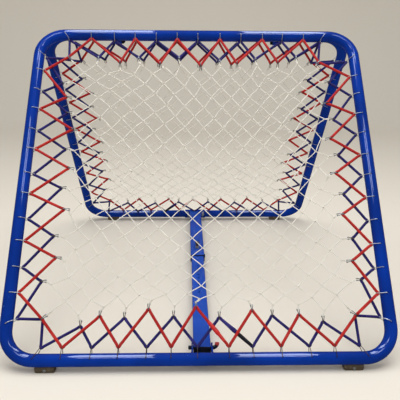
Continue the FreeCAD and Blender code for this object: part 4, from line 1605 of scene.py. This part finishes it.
@dataclass
class ReleasePin:
    """Pull pin of the front pivot, its hooked end dipped in red vinyl."""

    radius: float = 0.005
    reach: float = 0.0268
    tail: float = 0.008
    handle: float = 0.0115
    hook: float = 0.003
    dip: float = 0.0005

    def route(self) -> list[Vector]:
        """Line of the bent rod from its plain end to its hooked tip."""
        bend = 2 * self.radius
        ahead, lean = Vector((1, 0, 0)), Vector((0, 0.5, 1)).normalized()
        turn_at = Vector((self.reach + self.handle - bend, 0, 0))
        end = -self.reach - self.tail
        points = [Vector((end, 0, 0)), Vector((end + 0.002, 0, 0)), turn_at]
        for step in range(1, 10):
            angle = math.pi / 2 * step / 10
            aside = ahead * bend * math.sin(angle)
            points.append(turn_at + aside + lean * bend * (1 - math.cos(angle)))
        corner = turn_at + ahead * bend + lean * bend
        return points + [corner + lean * self.hook * share for share in (0.0, 0.6, 1.0)]

    def build(self) -> None:
        """Build and dress the pin and its dipped tip."""
        route = self.route()
        swell = [0.8] + [1.0] * (len(route) - 2) + [0.75]
        rod = wire("pull_pin_rod", [route], self.radius, 20, swells=[swell])
        dress(settle(rod, PLAN.strut_place()), BLACK_ZINC, "release_pin", "release_pin")
        swell = [0.92, 1, 1, 1, 0.97, 0.8]
        tip = wire("pull_pin_dip", [route[-6:]], self.radius + self.dip, 20, swells=[swell])
        dress(settle(tip, PLAN.strut_place()), DIPPED, "release_pin")


@dataclass
class Studio:
    """Plain cream floor and backdrop, soft light from above, a row of ceiling panels that only
    gloss shows, and the camera."""

    floor_colour: str = "#E9E2D5"
    floor_size: tuple[float, float] = (16, 13)
    floor_shift: float = -1.5
    wall: float = 7
    wall_foot: float = 1.6
    eye: tuple[float, float, float] = (-0.0315, -1.6907, 0.7473)
    pitch: float = 74.09
    heading: float = -1.47
    roll: float = 0.376
    lens: float = 45.66
    sky_colour: str = "#F4F5F7"
    sky_power: float = 0.55
    sky_gloss: float = 0.04
    top_watts: float = 78.0
    front_watts: float = 12.0
    panel_power: float = 11.0
    panel_colour: str = "#D9E6FF"

    def floor(self) -> None:
        """Floor that rises into a backdrop far behind, both out of the object."""
        release()
        bpy.ops.mesh.primitive_plane_add(size=1)
        floor = settle(added(), Matrix.Diagonal((*self.floor_size, 1, 1)))
        settle(floor, Matrix.Translation((0, self.floor_shift, 0)))
        back = self.floor_shift + self.floor_size[1] / 2 - 0.1
        with shaping(floor, Part.EDGES, lambda middle, way: middle.y > back):
            extrude((0, 0, self.wall))
        with shaping(floor, Part.EDGES, lambda middle, way: middle.y > back and middle.z < 0.1):
            bpy.ops.mesh.bevel(offset=self.wall_foot, segments=12, affect="EDGES")
        floor = smooth(join("studio_floor", [floor]), 60)
        plain = {"Base Color": srgb(self.floor_colour), "Roughness": 0.9, "Specular IOR Level": 0.0}
        floor.data.materials.append(start_material("plain_floor", plain)[0])
        floor.visible_glossy = False

    def lamp(
        self, name: str, size: tuple[float, float], place: Vector, aim: Vector, watts: float,
        gloss: bool = False,
    ) -> None:
        """Rectangular lamp that points at a spot: soft light, or a panel for gloss to show."""
        data = bpy.data.lights.new(name, "AREA")
        data.shape = "RECTANGLE"
        data.size, data.size_y = size
        data.energy = watts
        lamp = link(name, data)
        lamp.location = place
        lamp.rotation_euler = (aim - place).to_track_quat("-Z", "Y").to_euler()
        lamp.visible_glossy = gloss
        lamp.visible_diffuse = not gloss
        if gloss:
            data.color = srgb(self.panel_colour)[:3]

    def sky(self) -> None:
        """Even light from all round, which gloss and metal see much darker, as in a dim hall."""
        scene = bpy.context.scene
        world = scene.world or bpy.data.worlds.new("studio")
        scene.world = world
        world.use_nodes = True
        tree = world.node_tree
        background = tree.nodes["Background"]
        ray = add_node(tree, "ShaderNodeLightPath")
        power = add_node(
            tree, "ShaderNodeMapRange", {}, {"To Min": self.sky_power, "To Max": self.sky_gloss},
            {"Value": ray.outputs["Is Glossy Ray"]},
        )
        tree.links.new(power.outputs["Result"], background.inputs["Strength"])
        seen = ray.outputs["Is Camera Ray"]
        shown = blend_colours(tree, seen, self.sky_colour, self.floor_colour)
        tree.links.new(shown, background.inputs["Color"])

    def build(self) -> None:
        """Set the whole studio up."""
        scene = bpy.context.scene
        self.floor()
        self.sky()
        middle = Vector((0, 0, 0.35))
        self.lamp("ceiling_lamp", (3.0, 2.6), Vector((0.1, -0.6, 3.2)), middle, self.top_watts)
        self.lamp("front_lamp", (2.4, 1.6), Vector((-0.8, -3.2, 2.0)), middle, self.front_watts)
        for x, width in ((-0.61, 0.64), (0.68, 0.60)):
            for y, depth, share in ((-1.70, 0.68, 0.8), (0.20, 2.20, 1.0)):
                place, below = Vector((x, y, 3.0)), Vector((x, y, 0))
                watts = self.panel_power * share * math.pi * width * depth
                self.lamp("ceiling_panel", (width, depth), place, below, watts, gloss=True)
        self.camera()
        scene.view_settings.view_transform = "Standard"

    def camera(self) -> None:
        """Camera on the photograph's viewpoint, a little rolled."""
        scene = bpy.context.scene
        data = bpy.data.cameras.new("camera")
        data.lens = self.lens
        data.sensor_width = 36
        camera = link("camera", data)
        camera.location = self.eye
        turn = Matrix.Identity(4)
        for angle, axis in ((self.heading, "Z"), (self.pitch, "X"), (self.roll, "Z")):
            turn = turn @ Matrix.Rotation(math.radians(angle), 4, axis)
        camera.rotation_euler = turn.to_euler()
        scene.camera = camera


def main() -> None:
    """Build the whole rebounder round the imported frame."""
    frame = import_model()
    nodes = frame["nodes"]
    Studio().build()
    for side in Side:
        lacing = Lacing(side)
        RingTube(side, lacing).build(nodes)
        lacing.build()
        Net(side, lacing).build()
        Foot(side).build()
    Hinges().build()
    Strut().build()
    ReleasePin().build()
    release()


if __name__ == "__main__":
    main()
